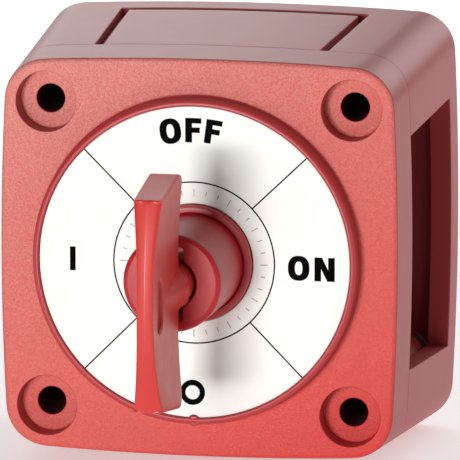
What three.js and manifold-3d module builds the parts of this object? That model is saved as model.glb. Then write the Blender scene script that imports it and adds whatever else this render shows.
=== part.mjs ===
// Battery switch with a removable key: a square moulded case, a printed dial, a turning key socket,
// and a sealed contact chamber whose two studs are reached through cable windows in the case's sides.
//
// Millimetres. Each piece is drawn face-up: x to the right, y up the dial, and h, the height above the
// mounting plane, along the drawing's z. The finished group is turned once, so that the dial faces -Y
// with +Z up, and the origin is the centre of the rear mounting plane.
import * as THREE from "three";
import { LoftGeometry } from "three/addons/geometries/LoftGeometry.js";
import { mergeVertices } from "three/addons/utils/BufferGeometryUtils.js";
import Module from "manifold-3d";

const wasm = await Module();
wasm.setup();

// ---- Driving dimensions ----

// Case: a square with barrel-shaped sides that grows from the face to the rear.
const REAR_HALF = 34.925;
const FRONT_HALF = 32.1;
const CASE_DEPTH = 46.4;
const SIDE_BULGE = 1.1;
const REAR_CORNER = 6.3;
const FRONT_CORNER = 6.7;
const FRONT_EDGE = 0.4;
const SIDE_STEPS = 6;
const CORNER_STEPS = 5;
const PARTING = 35.3;
const PARTING_GAP = 0.1;
const SKIRT_WALL = 3.4;
const FRAME_WALL = 3.5;
const WALL_CLEARANCE = 0.2;
const FACE_WALL = 3.2;
const RIM_HEIGHT = 5.6;

// The rear cover and its hooked tabs, which sit in pockets of the rim's top and bottom edges.
const COVER_THICK = 2.4;
const SNAP = { wall: 30.6, thick: 1.2, tip: 31.75, x: 16, half: 2, hook: [3.6, 4.6] };
const SNAP_POCKET = { from: 30.3, to: 32.3, half: 2.5, span: [3.2, 5.0] };

// Cable windows and the plates that blank two of them.
const WINDOW_HALF_FRONT = 19.0;
const WINDOW_HALF_REAR = 20.7;
const WINDOW_FROM = 20;
const PANEL_GROOVE = 1.4;
const PANEL_GROOVE_REAR = 1.5;
const PANEL_GROOVE_DEPTH = 1.4;
const PLATE_CLEARANCE = 0.15;
const FLANGE_INSET = 3.75;
const STRIP_INSET = 3.7;
const STRIP_THICK = 1.4;
const STRIP_HALF = 12;
const STRIP_FRONT = 39.8;
const STRIP_REAR = 3.9;

// Mounting holes.
const HOLE_PITCH = 49.3;
const HOLE_R = 2.3;
const COUNTERBORE_R = 4.85;
const COUNTERBORE_DEPTH = 3.8;
const COLUMN_R = 6.4;
const COLUMN_TIE = 2;
const COLUMN_CLEARANCE = 0.3;

// Dial boss, label and collar.
const BOSS_R = 26.2;
const BOSS_ROUND = 0.7;
const LIP_ROUND = 0.25;
const LIP_INNER_R = 25.15;
const LIP_TOP = 50.0;
const LABEL_SEAT = 49.05;
const LABEL_TOP = 49.5;
const LABEL_R = 25.05;
const COLLAR_R = 9.4;
const COLLAR_TOP = 51.0;
const COLLAR_ROUND = 0.35;
const BEARING_R = 8.3;
const NOTCH_R = 0.9;
const NOTCH_OUT = 25.55;

// Key socket and key.
const SOCKET_FOOT_R = 8.05;
const SOCKET_TIP_R = 7.75;
const SOCKET_TOP = 68.0;
const SOCKET_ROUND = 0.8;
const FLANGE_R = 12.5;
const FLANGE = [43.5, 46.0];
const POCKET_R = 13.2;
const POCKET_TOP = 46.6;
const SHAFT_HALF = 4.6;
const SHAFT_END = 39.45;
const KEYHOLE_R = 3.9;
const KEYHOLE_SLOT = [1.85, 5.8];
const KEYHOLE_FLOOR = 50.8;
const BARREL_R = 3.5;
const BARREL_TIP = 51.2;
const BARREL_ROUND = 0.6;
const CONE_END = 80;
const WING = [1.35, 5.3];
const WING_SPAN = [52.2, 59];
const HANDLE_BACK = 70.4;
const HANDLE_CROWN = 89.0;
const HANDLE_CORNER = [16.5, 86.4];
const HANDLE_WIDEST = [18.4, 73.2];
const HANDLE_OFFSET = -0.25;
const HANDLE_BACK_REACH = 15.6;
const HANDLE_HALF_THICK = 1.3;
const HANDLE_FLARE = 1.0;
const HANDLE_FLARE_POWER = 2.5;
const HANDLE_STEPS = 16;
const GRIP = { low: -4.5, high: 3.75, h: 83.7, half: 2.2, depth: 0.45 };

// Contact chamber.
const CHAMBER_R = 26;
const CHAMBER_FRONT = 43.1;
const CHAMBER_REAR = 24;
const CHAMBER_FLOOR = 27;
const CAVITY_R = 18.5;
const SCREW_CIRCLE_R = 22.9;
const SCREW_ANGLES = [30, 150, 210, 330];
const SCREW_R = 1.4;
const SCREW_HOLE_R = 1.6;
const SCREW_TIP = 45.4;
const SCREW_HEAD = { r: 3, crown: 2.2, thick: 2 };
const SEAL = { inner: 19.3, outer: 20.3, rear: 42.1 };
const DIVIDER = { half: 1.25, reach: 22, end: 6.5 };

// Studs and their fasteners.
const STUD_X = 12;
const STUD_R = 5;
const STUD_END = 4.6;
const PAD = { r: 6.2, top: 29.4, inner: 8 };
const NUT_FLATS = 16;
const JAM_NUT = [18.8, 23.9];
const FLAT_WASHER = [12.4, 14.2];
const FLAT_WASHER_R = 10;
const LOCK_WASHER = [10.3, 12.3];
const LOCK_WASHER_R = 8.6;
const LOCK_WASHER_SPLIT = 0.7;
const STUD_NUT = [5.2, 10.2];

// Contact carrier, bridge and detent.
const CARRIER = { r: 12.5, rear: 34.4, ledge: 38.55, rimR: 16, front: 43.0 };
const CARRIER_LEG = { clearance: 0.3, thick: 2.7, half: 7 };
const BRIDGE = { half: 4.5, reach: 17.7, span: [29.7, 32.5] };
const SPRING_POCKET = { r: 5.4, top: 38.2 };
const CARRIER_SCREW_TIP = 44.0;
const CARRIER_SCREW_HEAD = { r: 2.7, crown: 2, thick: 1.8 };
const O_RING = { r: 7.5, half: 0.65, h: 47.75 };
const CONTACT_SPRING = { radius: 4.3, wire: 0.45, turns: 2.5, span: [32.7, 38.0], steps: 30 };
const DETENT_H = 40.3;
const DETENT_SPRING = { radius: 1.1, wire: 0.2, turns: 4, span: [8.8, 12.1], steps: 32 };
const DETENT_R = 1.6;
const DETENT_PLUNGER = { back: 12.3, shoulder: 17.0, tip: 18.25 };
const DETENT_BORE = [8.5, 17.5];
const DETENT_POCKET = [16.2, 19.2];
const DETENT_ANGLES = { a: 45, b: 225 };
const DETENT_STATIONS = [45, 135, 225, 315];
const STOP_ANGLE = 225;
const TRAVEL = 90;
const STOP_OFFSET = 17.6;
const STOP = { half: 2, inner: 14.3, outer: 18.9, span: [34.8, 38.25] };
const STOP_TAB = { half: 2.2, inner: 10, outer: 17.2, span: [35.0, 38.05] };

// How many straight sides stand in for a circle.
const LARGE_ROUND = 44;
const ROUND = 28;
const SMALL_ROUND = 14;

const rad = THREE.MathUtils.degToRad;

// ---- Solids ----

function solidOf(geometry) {
  geometry.deleteAttribute("normal");
  geometry.deleteAttribute("uv");
  const merged = mergeVertices(geometry, 1e-4);
  return new wasm.Manifold(new wasm.Mesh({
    numProp: 3,
    vertProperties: merged.attributes.position.array,
    triVerts: new Uint32Array(merged.index.array),
  }));
}

function geometryOf(solid) {
  const { vertProperties, triVerts } = solid.getMesh();
  const geometry = new THREE.BufferGeometry();
  geometry.setAttribute("position", new THREE.BufferAttribute(vertProperties, 3));
  geometry.setIndex(new THREE.BufferAttribute(triVerts, 1));
  geometry.computeVertexNormals();
  return geometry;
}

const union = (first, ...others) => others.reduce((made, next) => made.add(next), first);
const cut = (first, ...tools) => tools.reduce((made, tool) => made.subtract(tool), first);

function disc(r, [low, high], [x, y] = [0, 0], segments = ROUND) {
  const geometry = new THREE.CylinderGeometry(r, r, high - low, segments);
  return solidOf(geometry.rotateX(Math.PI / 2).translate(x, y, (low + high) / 2));
}

function block([x0, x1], [y0, y1], [low, high]) {
  const geometry = new THREE.BoxGeometry(x1 - x0, y1 - y0, high - low);
  return solidOf(geometry.translate((x0 + x1) / 2, (y0 + y1) / 2, (low + high) / 2));
}

// A closed profile of [radius, height] points, turned round the h axis.
function revolve(profile, segments = ROUND) {
  const points = [...profile, profile[0]].map(([r, h]) => new THREE.Vector2(r, h));
  return solidOf(new THREE.LatheGeometry(points, segments).rotateX(Math.PI / 2));
}

function ring(inner, outer, [low, high], segments = LARGE_ROUND) {
  return revolve([[inner, low], [outer, low], [outer, high], [inner, high]], segments);
}

function extrude(shape, [low, high], curveSegments = 12) {
  const options = { depth: high - low, bevelEnabled: false, curveSegments };
  return solidOf(new THREE.ExtrudeGeometry(shape, options).translate(0, 0, low));
}

// A [across, height] outline, extruded along x from -half to half: its first axis becomes y.
function extrudeAcross(shape, half, curveSegments = 12) {
  const options = { depth: 2 * half, bevelEnabled: false, curveSegments };
  const geometry = new THREE.ExtrudeGeometry(shape, options).translate(0, 0, -half);
  return solidOf(geometry.rotateY(Math.PI / 2).rotateX(Math.PI / 2));
}

// A direction on the dial, measured clockwise from the top.
function onDial(degrees, radius) {
  return [radius * Math.sin(rad(degrees)), radius * Math.cos(rad(degrees))];
}

// A solid drawn along +y, turned clockwise to a direction on the dial.
const turned = (solid, degrees) => solid.rotate([0, 0, -degrees]);

const between = (a, b) => [Math.min(a, b), Math.max(a, b)];

const corners = [[1, 1], [-1, 1], [-1, -1], [1, -1]];

// ---- Case ----

// One quarter is a shallow parabolic side and the corner arc that it runs into.
function caseOutline(h, inset = 0) {
  const along = h / CASE_DEPTH;
  const half = THREE.MathUtils.lerp(REAR_HALF, FRONT_HALF, along) - inset;
  const corner = Math.max(THREE.MathUtils.lerp(REAR_CORNER, FRONT_CORNER, along) - inset, 1.5);
  const centre = half - corner - SIDE_BULGE * ((half - corner) / half) ** 2;
  const slope = Math.atan(2 * SIDE_BULGE * centre / half ** 2);
  const reach = centre + corner * Math.sin(slope);
  const quarter = [];
  for (let i = 0; i < SIDE_STEPS; i++) {
    const y = reach * (2 * i / SIDE_STEPS - 1);
    quarter.push([half - SIDE_BULGE * (y / half) ** 2, y]);
  }
  for (let i = 0; i < CORNER_STEPS; i++) {
    const angle = THREE.MathUtils.lerp(slope, Math.PI / 2 - slope, i / CORNER_STEPS);
    quarter.push([centre + corner * Math.cos(angle), centre + corner * Math.sin(angle)]);
  }
  const turns = [
    ([x, y]) => [x, y],
    ([x, y]) => [-y, x],
    ([x, y]) => [-x, -y],
    ([x, y]) => [y, -x],
  ];
  return turns.flatMap((turn) => quarter.map(turn)).map(([x, y]) => new THREE.Vector3(x, y, h));
}

function loft(sections) {
  return solidOf(new LoftGeometry(sections, { capStart: true, capEnd: true }));
}

// The case's form drawn in by an inset, running past the case's rear and front.
const innerForm = (inset) => loft([-1, CASE_DEPTH + 1].map((h) => caseOutline(h, inset)));

// The case's own form, with its front edge rounded over.
const outerForm = loft([
  caseOutline(0),
  caseOutline(CASE_DEPTH - FRONT_EDGE),
  caseOutline(CASE_DEPTH - 0.3 * FRONT_EDGE, 0.3 * FRONT_EDGE),
  caseOutline(CASE_DEPTH, FRONT_EDGE),
]);

const FAR = 60;
const slab = (span) => block([-FAR, FAR], [-FAR, FAR], span);

// The window's outline on the top side, grown or drawn in by a margin, and cut through the wall.
function windowPrism(margin, [rear, front]) {
  const halfAt = (h) => THREE.MathUtils.mapLinear(
    h, RIM_HEIGHT, PARTING, WINDOW_HALF_REAR, WINDOW_HALF_FRONT) + margin;
  const outline = new THREE.Shape([
    new THREE.Vector2(-halfAt(rear), rear),
    new THREE.Vector2(halfAt(rear), rear),
    new THREE.Vector2(halfAt(front), front),
    new THREE.Vector2(-halfAt(front), front),
  ]);
  const across = extrudeAcross(outline, (FAR - WINDOW_FROM) / 2);
  return across.rotate([0, 0, 90]).translate([0, (FAR + WINDOW_FROM) / 2, 0]);
}

// A mounting column in each corner, tied to the case's corner by a square block.
function cornerColumns(columnR, span, tie = COLUMN_TIE) {
  const at = HOLE_PITCH / 2;
  const tieFrom = at - tie;
  return corners.map(([sx, sy]) => union(
    disc(columnR, span, [sx * at, sy * at]),
    block(between(sx * tieFrom, sx * FAR), between(sy * tieFrom, sy * FAR), span),
  ));
}

const mountingHoles = (r, span) => corners.map(([sx, sy]) => (
  disc(r, span, [sx * HOLE_PITCH / 2, sy * HOLE_PITCH / 2], SMALL_ROUND)));

function frontCase() {
  const body = outerForm.intersect(slab([PARTING, FAR]));
  const hollow = innerForm(SKIRT_WALL).intersect(slab([PARTING - 1, CASE_DEPTH - FACE_WALL]));
  const columns = cornerColumns(COLUMN_R, [PARTING, CASE_DEPTH - FACE_WALL + 0.1])
    .map((column) => column.intersect(outerForm));
  const bossBack = CASE_DEPTH - FACE_WALL;
  const boss = revolve([
    [BEARING_R, POCKET_TOP], [POCKET_R, POCKET_TOP], [POCKET_R, bossBack], [BOSS_R, bossBack],
    [BOSS_R, LIP_TOP - BOSS_ROUND], [BOSS_R - 0.3 * BOSS_ROUND, LIP_TOP - 0.3 * BOSS_ROUND],
    [BOSS_R - BOSS_ROUND, LIP_TOP], [LIP_INNER_R + LIP_ROUND, LIP_TOP],
    [LIP_INNER_R, LIP_TOP - LIP_ROUND], [LIP_INNER_R, LABEL_SEAT],
    [COLLAR_R, LABEL_SEAT], [COLLAR_R, COLLAR_TOP - COLLAR_ROUND], [COLLAR_R - COLLAR_ROUND, COLLAR_TOP],
    [BEARING_R, COLLAR_TOP],
  ], LARGE_ROUND);
  const notch = disc(NOTCH_R, [LABEL_SEAT - 0.2, LIP_TOP - 0.1], [0, -NOTCH_OUT], SMALL_ROUND);
  const pilots = SCREW_ANGLES.map((angle) => (
    disc(SCREW_HOLE_R, [PARTING, SCREW_TIP + 0.3], onDial(angle, SCREW_CIRCLE_R), SMALL_ROUND)));
  const shell = union(cut(body, hollow), ...columns);
  const faced = union(cut(shell, disc(BOSS_R - 0.5, [PARTING, FAR], [0, 0], LARGE_ROUND)), boss, notch);
  return cut(
    faced,
    ...mountingHoles(HOLE_R, [PARTING - 1, FAR]),
    ...mountingHoles(COUNTERBORE_R, [CASE_DEPTH - COUNTERBORE_DEPTH, FAR]),
    ...pilots,
  );
}

function rearFrame() {
  const top = PARTING - PARTING_GAP;
  const ringWall = cut(outerForm, innerForm(FRAME_WALL));
  const windows = [0, 90, 180, 270].map((angle) => turned(windowPrism(0, [RIM_HEIGHT, top + 1]), angle));
  const columns = cornerColumns(COLUMN_R, [0, top]).map((column) => column.intersect(outerForm));
  const frame = union(cut(ringWall, ...windows), ...columns).intersect(slab([0, top]));
  const snapPockets = corners.map(([sx, sy]) => block(
    [sx * SNAP.x - SNAP_POCKET.half, sx * SNAP.x + SNAP_POCKET.half],
    between(sy * SNAP_POCKET.from, sy * SNAP_POCKET.to),
    SNAP_POCKET.span,
  ));
  return cut(frame, ...mountingHoles(HOLE_R, [-1, FAR]), ...snapPockets);
}

// The cover snaps into the rim: two hooked tabs on its top edge and two on its bottom edge.
function rearCover() {
  const plate = cut(
    innerForm(FRAME_WALL + WALL_CLEARANCE).intersect(slab([0, COVER_THICK])),
    ...cornerColumns(COLUMN_R + COLUMN_CLEARANCE, [-1, FAR], COLUMN_TIE + COLUMN_CLEARANCE),
  );
  const tabs = corners.map(([sx, sy]) => {
    const across = [sx * SNAP.x - SNAP.half, sx * SNAP.x + SNAP.half];
    const stem = between(sy * SNAP.wall, sy * (SNAP.wall - SNAP.thick));
    const hook = between(sy * SNAP.tip, sy * (SNAP.wall - SNAP.thick));
    return union(block(across, stem, [COVER_THICK - 0.1, SNAP.hook[1]]), block(across, hook, SNAP.hook));
  });
  return union(plate, ...tabs);
}

// A blanking plate: a flush panel, a flange that forms the groove's floor, and a strip behind that
// runs under the front skirt and the rear rim.
function sidePlate() {
  const front = PARTING - 2 * PARTING_GAP;
  const panel = outerForm.intersect(windowPrism(-PANEL_GROOVE, [RIM_HEIGHT + PANEL_GROOVE_REAR, front]));
  const flange = innerForm(PANEL_GROOVE_DEPTH).intersect(
    windowPrism(-PLATE_CLEARANCE, [RIM_HEIGHT + PLATE_CLEARANCE, front]));
  const stripBlock = block([-STRIP_HALF, STRIP_HALF], [WINDOW_FROM, FAR], [STRIP_REAR, STRIP_FRONT]);
  const strip = cut(innerForm(STRIP_INSET).intersect(stripBlock), innerForm(STRIP_INSET + STRIP_THICK));
  return union(cut(union(panel, flange), innerForm(FLANGE_INSET)), strip);
}

function labelDisc() {
  const face = ring(COLLAR_R + 0.15, LABEL_R, [LABEL_SEAT + 0.05, LABEL_TOP]);
  return cut(face, disc(NOTCH_R + 0.1, [LABEL_SEAT - 1, FAR], [0, -NOTCH_OUT], SMALL_ROUND));
}

// ---- Contact chamber ----

// The radial bore that a detent plunger runs in, from one radius to another.
function detentBore(span, angle) {
  const bore = disc(DETENT_R + 0.15, span, [0, 0], SMALL_ROUND).rotate([-90, 0, 0]);
  return turned(bore.translate([0, 0, DETENT_H]), angle);
}

function baseBlock() {
  const body = union(
    disc(CHAMBER_R, [CHAMBER_REAR, CHAMBER_FRONT], [0, 0], LARGE_ROUND),
    block([-DIVIDER.half, DIVIDER.half], [-DIVIDER.reach, DIVIDER.reach], [DIVIDER.end, CHAMBER_REAR + 0.5]),
  );
  const cavity = disc(CAVITY_R, [CHAMBER_FLOOR, FAR], [0, 0], LARGE_ROUND);
  const sealGroove = ring(SEAL.inner - 0.1, SEAL.outer + 0.1, [SEAL.rear - 0.1, FAR]);
  const studHoles = [-1, 1].map((side) => disc(STUD_R + 0.15, [0, FAR], [side * STUD_X, 0]));
  const screwHoles = SCREW_ANGLES.map((angle) => (
    disc(SCREW_HOLE_R, [0, FAR], onDial(angle, SCREW_CIRCLE_R), SMALL_ROUND)));
  const pockets = DETENT_STATIONS.map((angle) => detentBore(DETENT_POCKET, angle));
  const stops = [STOP_ANGLE - STOP_OFFSET, STOP_ANGLE + TRAVEL + STOP_OFFSET].map((angle) => turned(
    block([-STOP.half, STOP.half], [STOP.inner, STOP.outer], STOP.span), angle));
  return union(cut(body, cavity, sealGroove, ...studHoles, ...screwHoles, ...pockets), ...stops);
}

// A pan-head screw with its head's flat under `seat` and a pointed tip.
function screw({ r, crown, thick }, seat, tip) {
  const low = seat - thick;
  return revolve([
    [0, low], [crown, low], [r, low + r - crown], [r, seat], [SCREW_R, seat],
    [SCREW_R, tip - 0.8], [0.5, tip], [0, tip],
  ], SMALL_ROUND);
}

const baseScrew = () => screw(SCREW_HEAD, CHAMBER_REAR - 0.1, SCREW_TIP);

// The stud's pad is cut off flat on the side that faces the other stud.
function contactStud(side) {
  const stud = union(
    disc(STUD_R, [STUD_END, CHAMBER_FLOOR + 0.3]),
    disc(PAD.r, [CHAMBER_FLOOR + 0.1, PAD.top]),
  );
  const flat = between(-side * (STUD_X - PAD.inner), -side * FAR);
  return cut(stud, block(flat, [-FAR, FAR], [CHAMBER_FLOOR + 0.05, FAR]));
}

function hexNut([low, high]) {
  const across = new THREE.CylinderGeometry(1, 1, high - low, 6).scale(
    NUT_FLATS / Math.sqrt(3), 1, NUT_FLATS / Math.sqrt(3));
  const hex = solidOf(across.rotateX(Math.PI / 2).translate(0, 0, (low + high) / 2));
  return cut(hex, disc(STUD_R + 0.15, [low - 1, high + 1]));
}

function splitWasher([low, high]) {
  const whole = ring(STUD_R + 0.2, LOCK_WASHER_R, [low, high], ROUND);
  return cut(whole, block([-LOCK_WASHER_SPLIT, LOCK_WASHER_SPLIT], [0, FAR], [low - 1, high + 1]));
}

// ---- Rotor ----

function keyhole() {
  const [slotHalf, slotReach] = KEYHOLE_SLOT;
  const span = [KEYHOLE_FLOOR, FAR + SOCKET_TOP];
  return union(
    disc(KEYHOLE_R, span),
    block([-slotHalf, slotHalf], [-slotReach, slotReach], span),
  );
}

function keySocket() {
  const hub = revolve([
    [0, FLANGE[0]], [FLANGE_R, FLANGE[0]], [FLANGE_R, FLANGE[1]], [SOCKET_FOOT_R, FLANGE[1]],
    [SOCKET_FOOT_R, O_RING.h - 0.8], [O_RING.r - O_RING.half - 0.1, O_RING.h - 0.8],
    [O_RING.r - O_RING.half - 0.1, O_RING.h + 0.8], [SOCKET_FOOT_R, O_RING.h + 0.8],
    [SOCKET_FOOT_R, COLLAR_TOP], [SOCKET_TIP_R, SOCKET_TOP - SOCKET_ROUND],
    [SOCKET_TIP_R - 0.3 * SOCKET_ROUND, SOCKET_TOP - 0.3 * SOCKET_ROUND],
    [SOCKET_TIP_R - SOCKET_ROUND, SOCKET_TOP], [0, SOCKET_TOP],
  ]);
  const shaft = block([-SHAFT_HALF, SHAFT_HALF], [-SHAFT_HALF, SHAFT_HALF], [SHAFT_END, FLANGE[0] + 0.2]);
  const screwHole = disc(SCREW_HOLE_R, [0, CARRIER_SCREW_TIP + 0.3], [0, 0], SMALL_ROUND);
  return cut(union(hub, shaft), keyhole(), screwHole);
}

function oRing() {
  const around = Array.from({ length: 8 }, (_, i) => {
    const angle = rad(45 * i);
    return [O_RING.r + O_RING.half * Math.cos(angle), O_RING.h + O_RING.half * Math.sin(angle)];
  });
  return revolve(around);
}

function thrustWasher() {
  return ring(BEARING_R + 0.1, FLANGE_R - 0.3, [FLANGE[1] + 0.15, POCKET_TOP - 0.15], ROUND);
}

function contactCarrier() {
  const body = union(
    disc(CARRIER.r, [CARRIER.rear, CARRIER.ledge + 0.1]),
    disc(CARRIER.rimR, [CARRIER.ledge, CARRIER.front]),
    turned(block([-STOP_TAB.half, STOP_TAB.half], [STOP_TAB.inner, STOP_TAB.outer], STOP_TAB.span), STOP_ANGLE),
  );
  const legFrom = BRIDGE.half + CARRIER_LEG.clearance;
  const legs = [-1, 1].map((side) => block(
    between(side * legFrom, side * (legFrom + CARRIER_LEG.thick)),
    [-CARRIER_LEG.half, CARRIER_LEG.half], [PAD.top + 0.5, CARRIER.rear + 0.1]));
  const bores = Object.values(DETENT_ANGLES).map((angle) => detentBore(DETENT_BORE, angle));
  const socketHalf = SHAFT_HALF + 0.15;
  return cut(
    union(body, ...legs),
    disc(SPRING_POCKET.r, [0, SPRING_POCKET.top]),
    block([-socketHalf, socketHalf], [-socketHalf, socketHalf], [SHAFT_END - 0.15, FAR]),
    disc(SCREW_HOLE_R, [0, FAR], [0, 0], SMALL_ROUND),
    ...bores,
  );
}

const carrierScrew = () => screw(CARRIER_SCREW_HEAD, SPRING_POCKET.top - 0.1, CARRIER_SCREW_TIP);

function bridgeContact() {
  const bar = block([-BRIDGE.half, BRIDGE.half], [-FAR, FAR], BRIDGE.span);
  return bar.intersect(disc(BRIDGE.reach, BRIDGE.span, [0, 0], LARGE_ROUND));
}

// A compression spring along h, from low to high, as a round wire swept along its helix.
function coilSpring({ radius, wire, turns, span: [low, high], steps }) {
  class Helix extends THREE.Curve {
    getPoint(t, target = new THREE.Vector3()) {
      const angle = 2 * Math.PI * turns * t;
      const h = THREE.MathUtils.lerp(low + wire, high - wire, t);
      return target.set(radius * Math.cos(angle), radius * Math.sin(angle), h);
    }
  }
  const section = new THREE.Shape(Array.from({ length: 6 }, (_, i) => (
    new THREE.Vector2(wire, 0).rotateAround(new THREE.Vector2(), rad(60 * i)))));
  return solidOf(new THREE.ExtrudeGeometry(section, { steps, extrudePath: new Helix() }));
}

function detentPlunger() {
  const { back, shoulder, tip } = DETENT_PLUNGER;
  const nose = [[1, 0], [0.82, 0.56], [0.38, 0.96], [0, 1]];
  return revolve([
    [0, back], [DETENT_R, back],
    ...nose.map(([across, along]) => [DETENT_R * across, THREE.MathUtils.lerp(shoulder, tip, along)]),
  ], SMALL_ROUND);
}

// ---- Key ----

// The handle is a flat plate whose ends flare in thickness, so it is the meeting of two outlines.
function keyHandle() {
  const [cornerY, cornerH] = HANDLE_CORNER;
  const [wideY, wideH] = HANDLE_WIDEST;
  const side = new THREE.Shape();
  side.moveTo(-HANDLE_BACK_REACH, HANDLE_BACK);
  side.lineTo(HANDLE_BACK_REACH, HANDLE_BACK);
  side.quadraticCurveTo(wideY, HANDLE_BACK + 0.2, wideY, wideH);
  side.lineTo(cornerY, cornerH);
  side.quadraticCurveTo(0, 2 * HANDLE_CROWN - cornerH, -cornerY, cornerH);
  side.lineTo(-wideY, wideH);
  side.quadraticCurveTo(-wideY, HANDLE_BACK + 0.2, -HANDLE_BACK_REACH, HANDLE_BACK);
  const halfAt = (y) => HANDLE_HALF_THICK + HANDLE_FLARE * (Math.abs(y) / cornerY) ** HANDLE_FLARE_POWER;
  const right = Array.from({ length: HANDLE_STEPS + 1 }, (_, i) => {
    const y = (wideY + 1) * (2 * i / HANDLE_STEPS - 1);
    return new THREE.Vector2(halfAt(y), y);
  });
  const left = right.map(({ x, y }) => new THREE.Vector2(-x, y)).reverse();
  const plan = new THREE.Shape([...right, ...left]);
  const plate = extrudeAcross(side, 4, 14).intersect(extrude(plan, [HANDLE_BACK - 1, HANDLE_CROWN + 1]));
  const slot = new THREE.Shape();
  slot.absarc(GRIP.low + GRIP.half, GRIP.h, GRIP.half, Math.PI / 2, 3 * Math.PI / 2);
  slot.absarc(GRIP.high - GRIP.half, GRIP.h, GRIP.half, -Math.PI / 2, Math.PI / 2);
  const grips = [-1, 1].map((face) => (
    extrudeAcross(slot, 1).translate([face * (HANDLE_HALF_THICK + 1 - GRIP.depth), 0, 0])));
  return cut(plate, ...grips).translate([0, HANDLE_OFFSET, 0]);
}

function switchKey() {
  const barrel = revolve([
    [0, BARREL_TIP], [BARREL_R - BARREL_ROUND, BARREL_TIP], [BARREL_R, BARREL_TIP + BARREL_ROUND],
    [BARREL_R, HANDLE_BACK + 0.3], [HANDLE_HALF_THICK - 0.1, CONE_END], [0, CONE_END],
  ]);
  const wings = block([-WING[0], WING[0]], [-WING[1], WING[1]], WING_SPAN);
  return union(keyHandle(), barrel, wings);
}

// ---- Assembly ----

const finish = (color, roughness, metalness = 0) => ({ color, roughness, metalness });
const RED = finish(0xd23f39, 0.55);
const RED_SMOOTH = finish(0xc23a36, 0.4);
const WHITE = finish(0xf7f6f0, 0.5);
const BLACK = finish(0x1c1c1e, 0.6);
const RUBBER = finish(0x111111, 0.9);
const NYLON = finish(0xd8d2c0, 0.6);
const COPPER = finish(0xb87333, 0.3, 1);
const BRASS = finish(0xb9a26a, 0.3, 1);
const STEEL = finish(0xb8babd, 0.25, 1);

function piece(name, solid, look) {
  const mesh = new THREE.Mesh(geometryOf(solid), new THREE.MeshStandardMaterial(look));
  mesh.name = name;
  return mesh;
}

function placed(mesh, [x, y]) {
  mesh.position.set(x, y, 0);
  return mesh;
}

const housing = new THREE.Group();
housing.add(
  piece("front_case", frontCase(), RED),
  piece("rear_frame", rearFrame(), RED),
  piece("rear_cover", rearCover(), RED),
  piece("side_plate_top", sidePlate(), RED),
  piece("side_plate_bottom", turned(sidePlate(), 180), RED),
  piece("label_disc", labelDisc(), WHITE),
  piece("base_block", baseBlock(), BLACK),
  piece("base_seal", ring(SEAL.inner, SEAL.outer, [SEAL.rear, CASE_DEPTH - FACE_WALL - 0.15]), RUBBER),
);
SCREW_ANGLES.forEach((angle, i) => {
  housing.add(placed(piece(`base_screw_${i + 1}`, baseScrew(), STEEL), onDial(angle, SCREW_CIRCLE_R)));
});
for (const [name, side] of [["left", -1], ["right", 1]]) {
  const at = [side * STUD_X, 0];
  housing.add(
    placed(piece(`contact_stud_${name}`, contactStud(side), BRASS), at),
    placed(piece(`stud_jam_nut_${name}`, hexNut(JAM_NUT), BRASS), at),
    placed(piece(`flat_washer_${name}`, ring(STUD_R + 0.25, FLAT_WASHER_R, FLAT_WASHER, ROUND), STEEL), at),
    placed(piece(`lock_washer_${name}`, splitWasher(LOCK_WASHER), STEEL), at),
    placed(piece(`stud_nut_${name}`, hexNut(STUD_NUT), STEEL), at),
  );
}

const rotor = new THREE.Group();
rotor.add(
  piece("key_socket", keySocket(), RED_SMOOTH),
  piece("shaft_o_ring", oRing(), RUBBER),
  piece("thrust_washer", thrustWasher(), NYLON),
  piece("contact_carrier", contactCarrier(), BLACK),
  piece("carrier_screw", carrierScrew(), STEEL),
  piece("bridge_contact", bridgeContact(), COPPER),
  piece("contact_spring", coilSpring(CONTACT_SPRING), STEEL),
);
for (const [name, angle] of Object.entries(DETENT_ANGLES)) {
  const radial = new THREE.Group();
  radial.rotation.set(-Math.PI / 2, 0, 0);
  radial.position.set(0, 0, DETENT_H);
  radial.add(
    piece(`detent_plunger_${name}`, detentPlunger(), STEEL),
    piece(`detent_spring_${name}`, coilSpring(DETENT_SPRING), STEEL),
  );
  const direction = new THREE.Group();
  direction.rotation.z = -rad(angle);
  direction.add(radial);
  rotor.add(direction);
}

const key = new THREE.Group();
key.add(piece("key", switchKey(), RED_SMOOTH));
rotor.add(key);

const batterySwitch = new THREE.Group();
batterySwitch.add(housing, rotor);
batterySwitch.rotation.x = Math.PI / 2;

export default batterySwitch;
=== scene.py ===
"""Battery switch with a removable key: detailed pieces, materials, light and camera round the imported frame.

Pieces are drawn face up in millimetres: x to the right, y up the dial, and h, the height in front of the
rear mounting plane. in_frame() turns a drawn point into the frame, where the dial faces -Y and +Z is up.
"""

import math

import bmesh
import bpy
from mathutils import Matrix, Vector


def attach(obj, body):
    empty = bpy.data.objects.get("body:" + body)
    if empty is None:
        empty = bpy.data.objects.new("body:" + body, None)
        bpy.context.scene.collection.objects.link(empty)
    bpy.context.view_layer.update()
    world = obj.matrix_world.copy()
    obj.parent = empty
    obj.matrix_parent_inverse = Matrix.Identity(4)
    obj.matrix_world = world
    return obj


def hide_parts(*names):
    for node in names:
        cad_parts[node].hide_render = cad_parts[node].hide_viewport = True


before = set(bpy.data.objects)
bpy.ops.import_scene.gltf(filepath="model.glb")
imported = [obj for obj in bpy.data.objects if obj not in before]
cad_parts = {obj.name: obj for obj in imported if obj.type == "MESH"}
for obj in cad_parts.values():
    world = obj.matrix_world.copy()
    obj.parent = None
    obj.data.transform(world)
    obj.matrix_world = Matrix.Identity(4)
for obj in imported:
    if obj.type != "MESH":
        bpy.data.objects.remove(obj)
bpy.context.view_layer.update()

MM = 0.001

# ---- Dimensions, in millimetres, shared with the CAD ----

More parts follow.
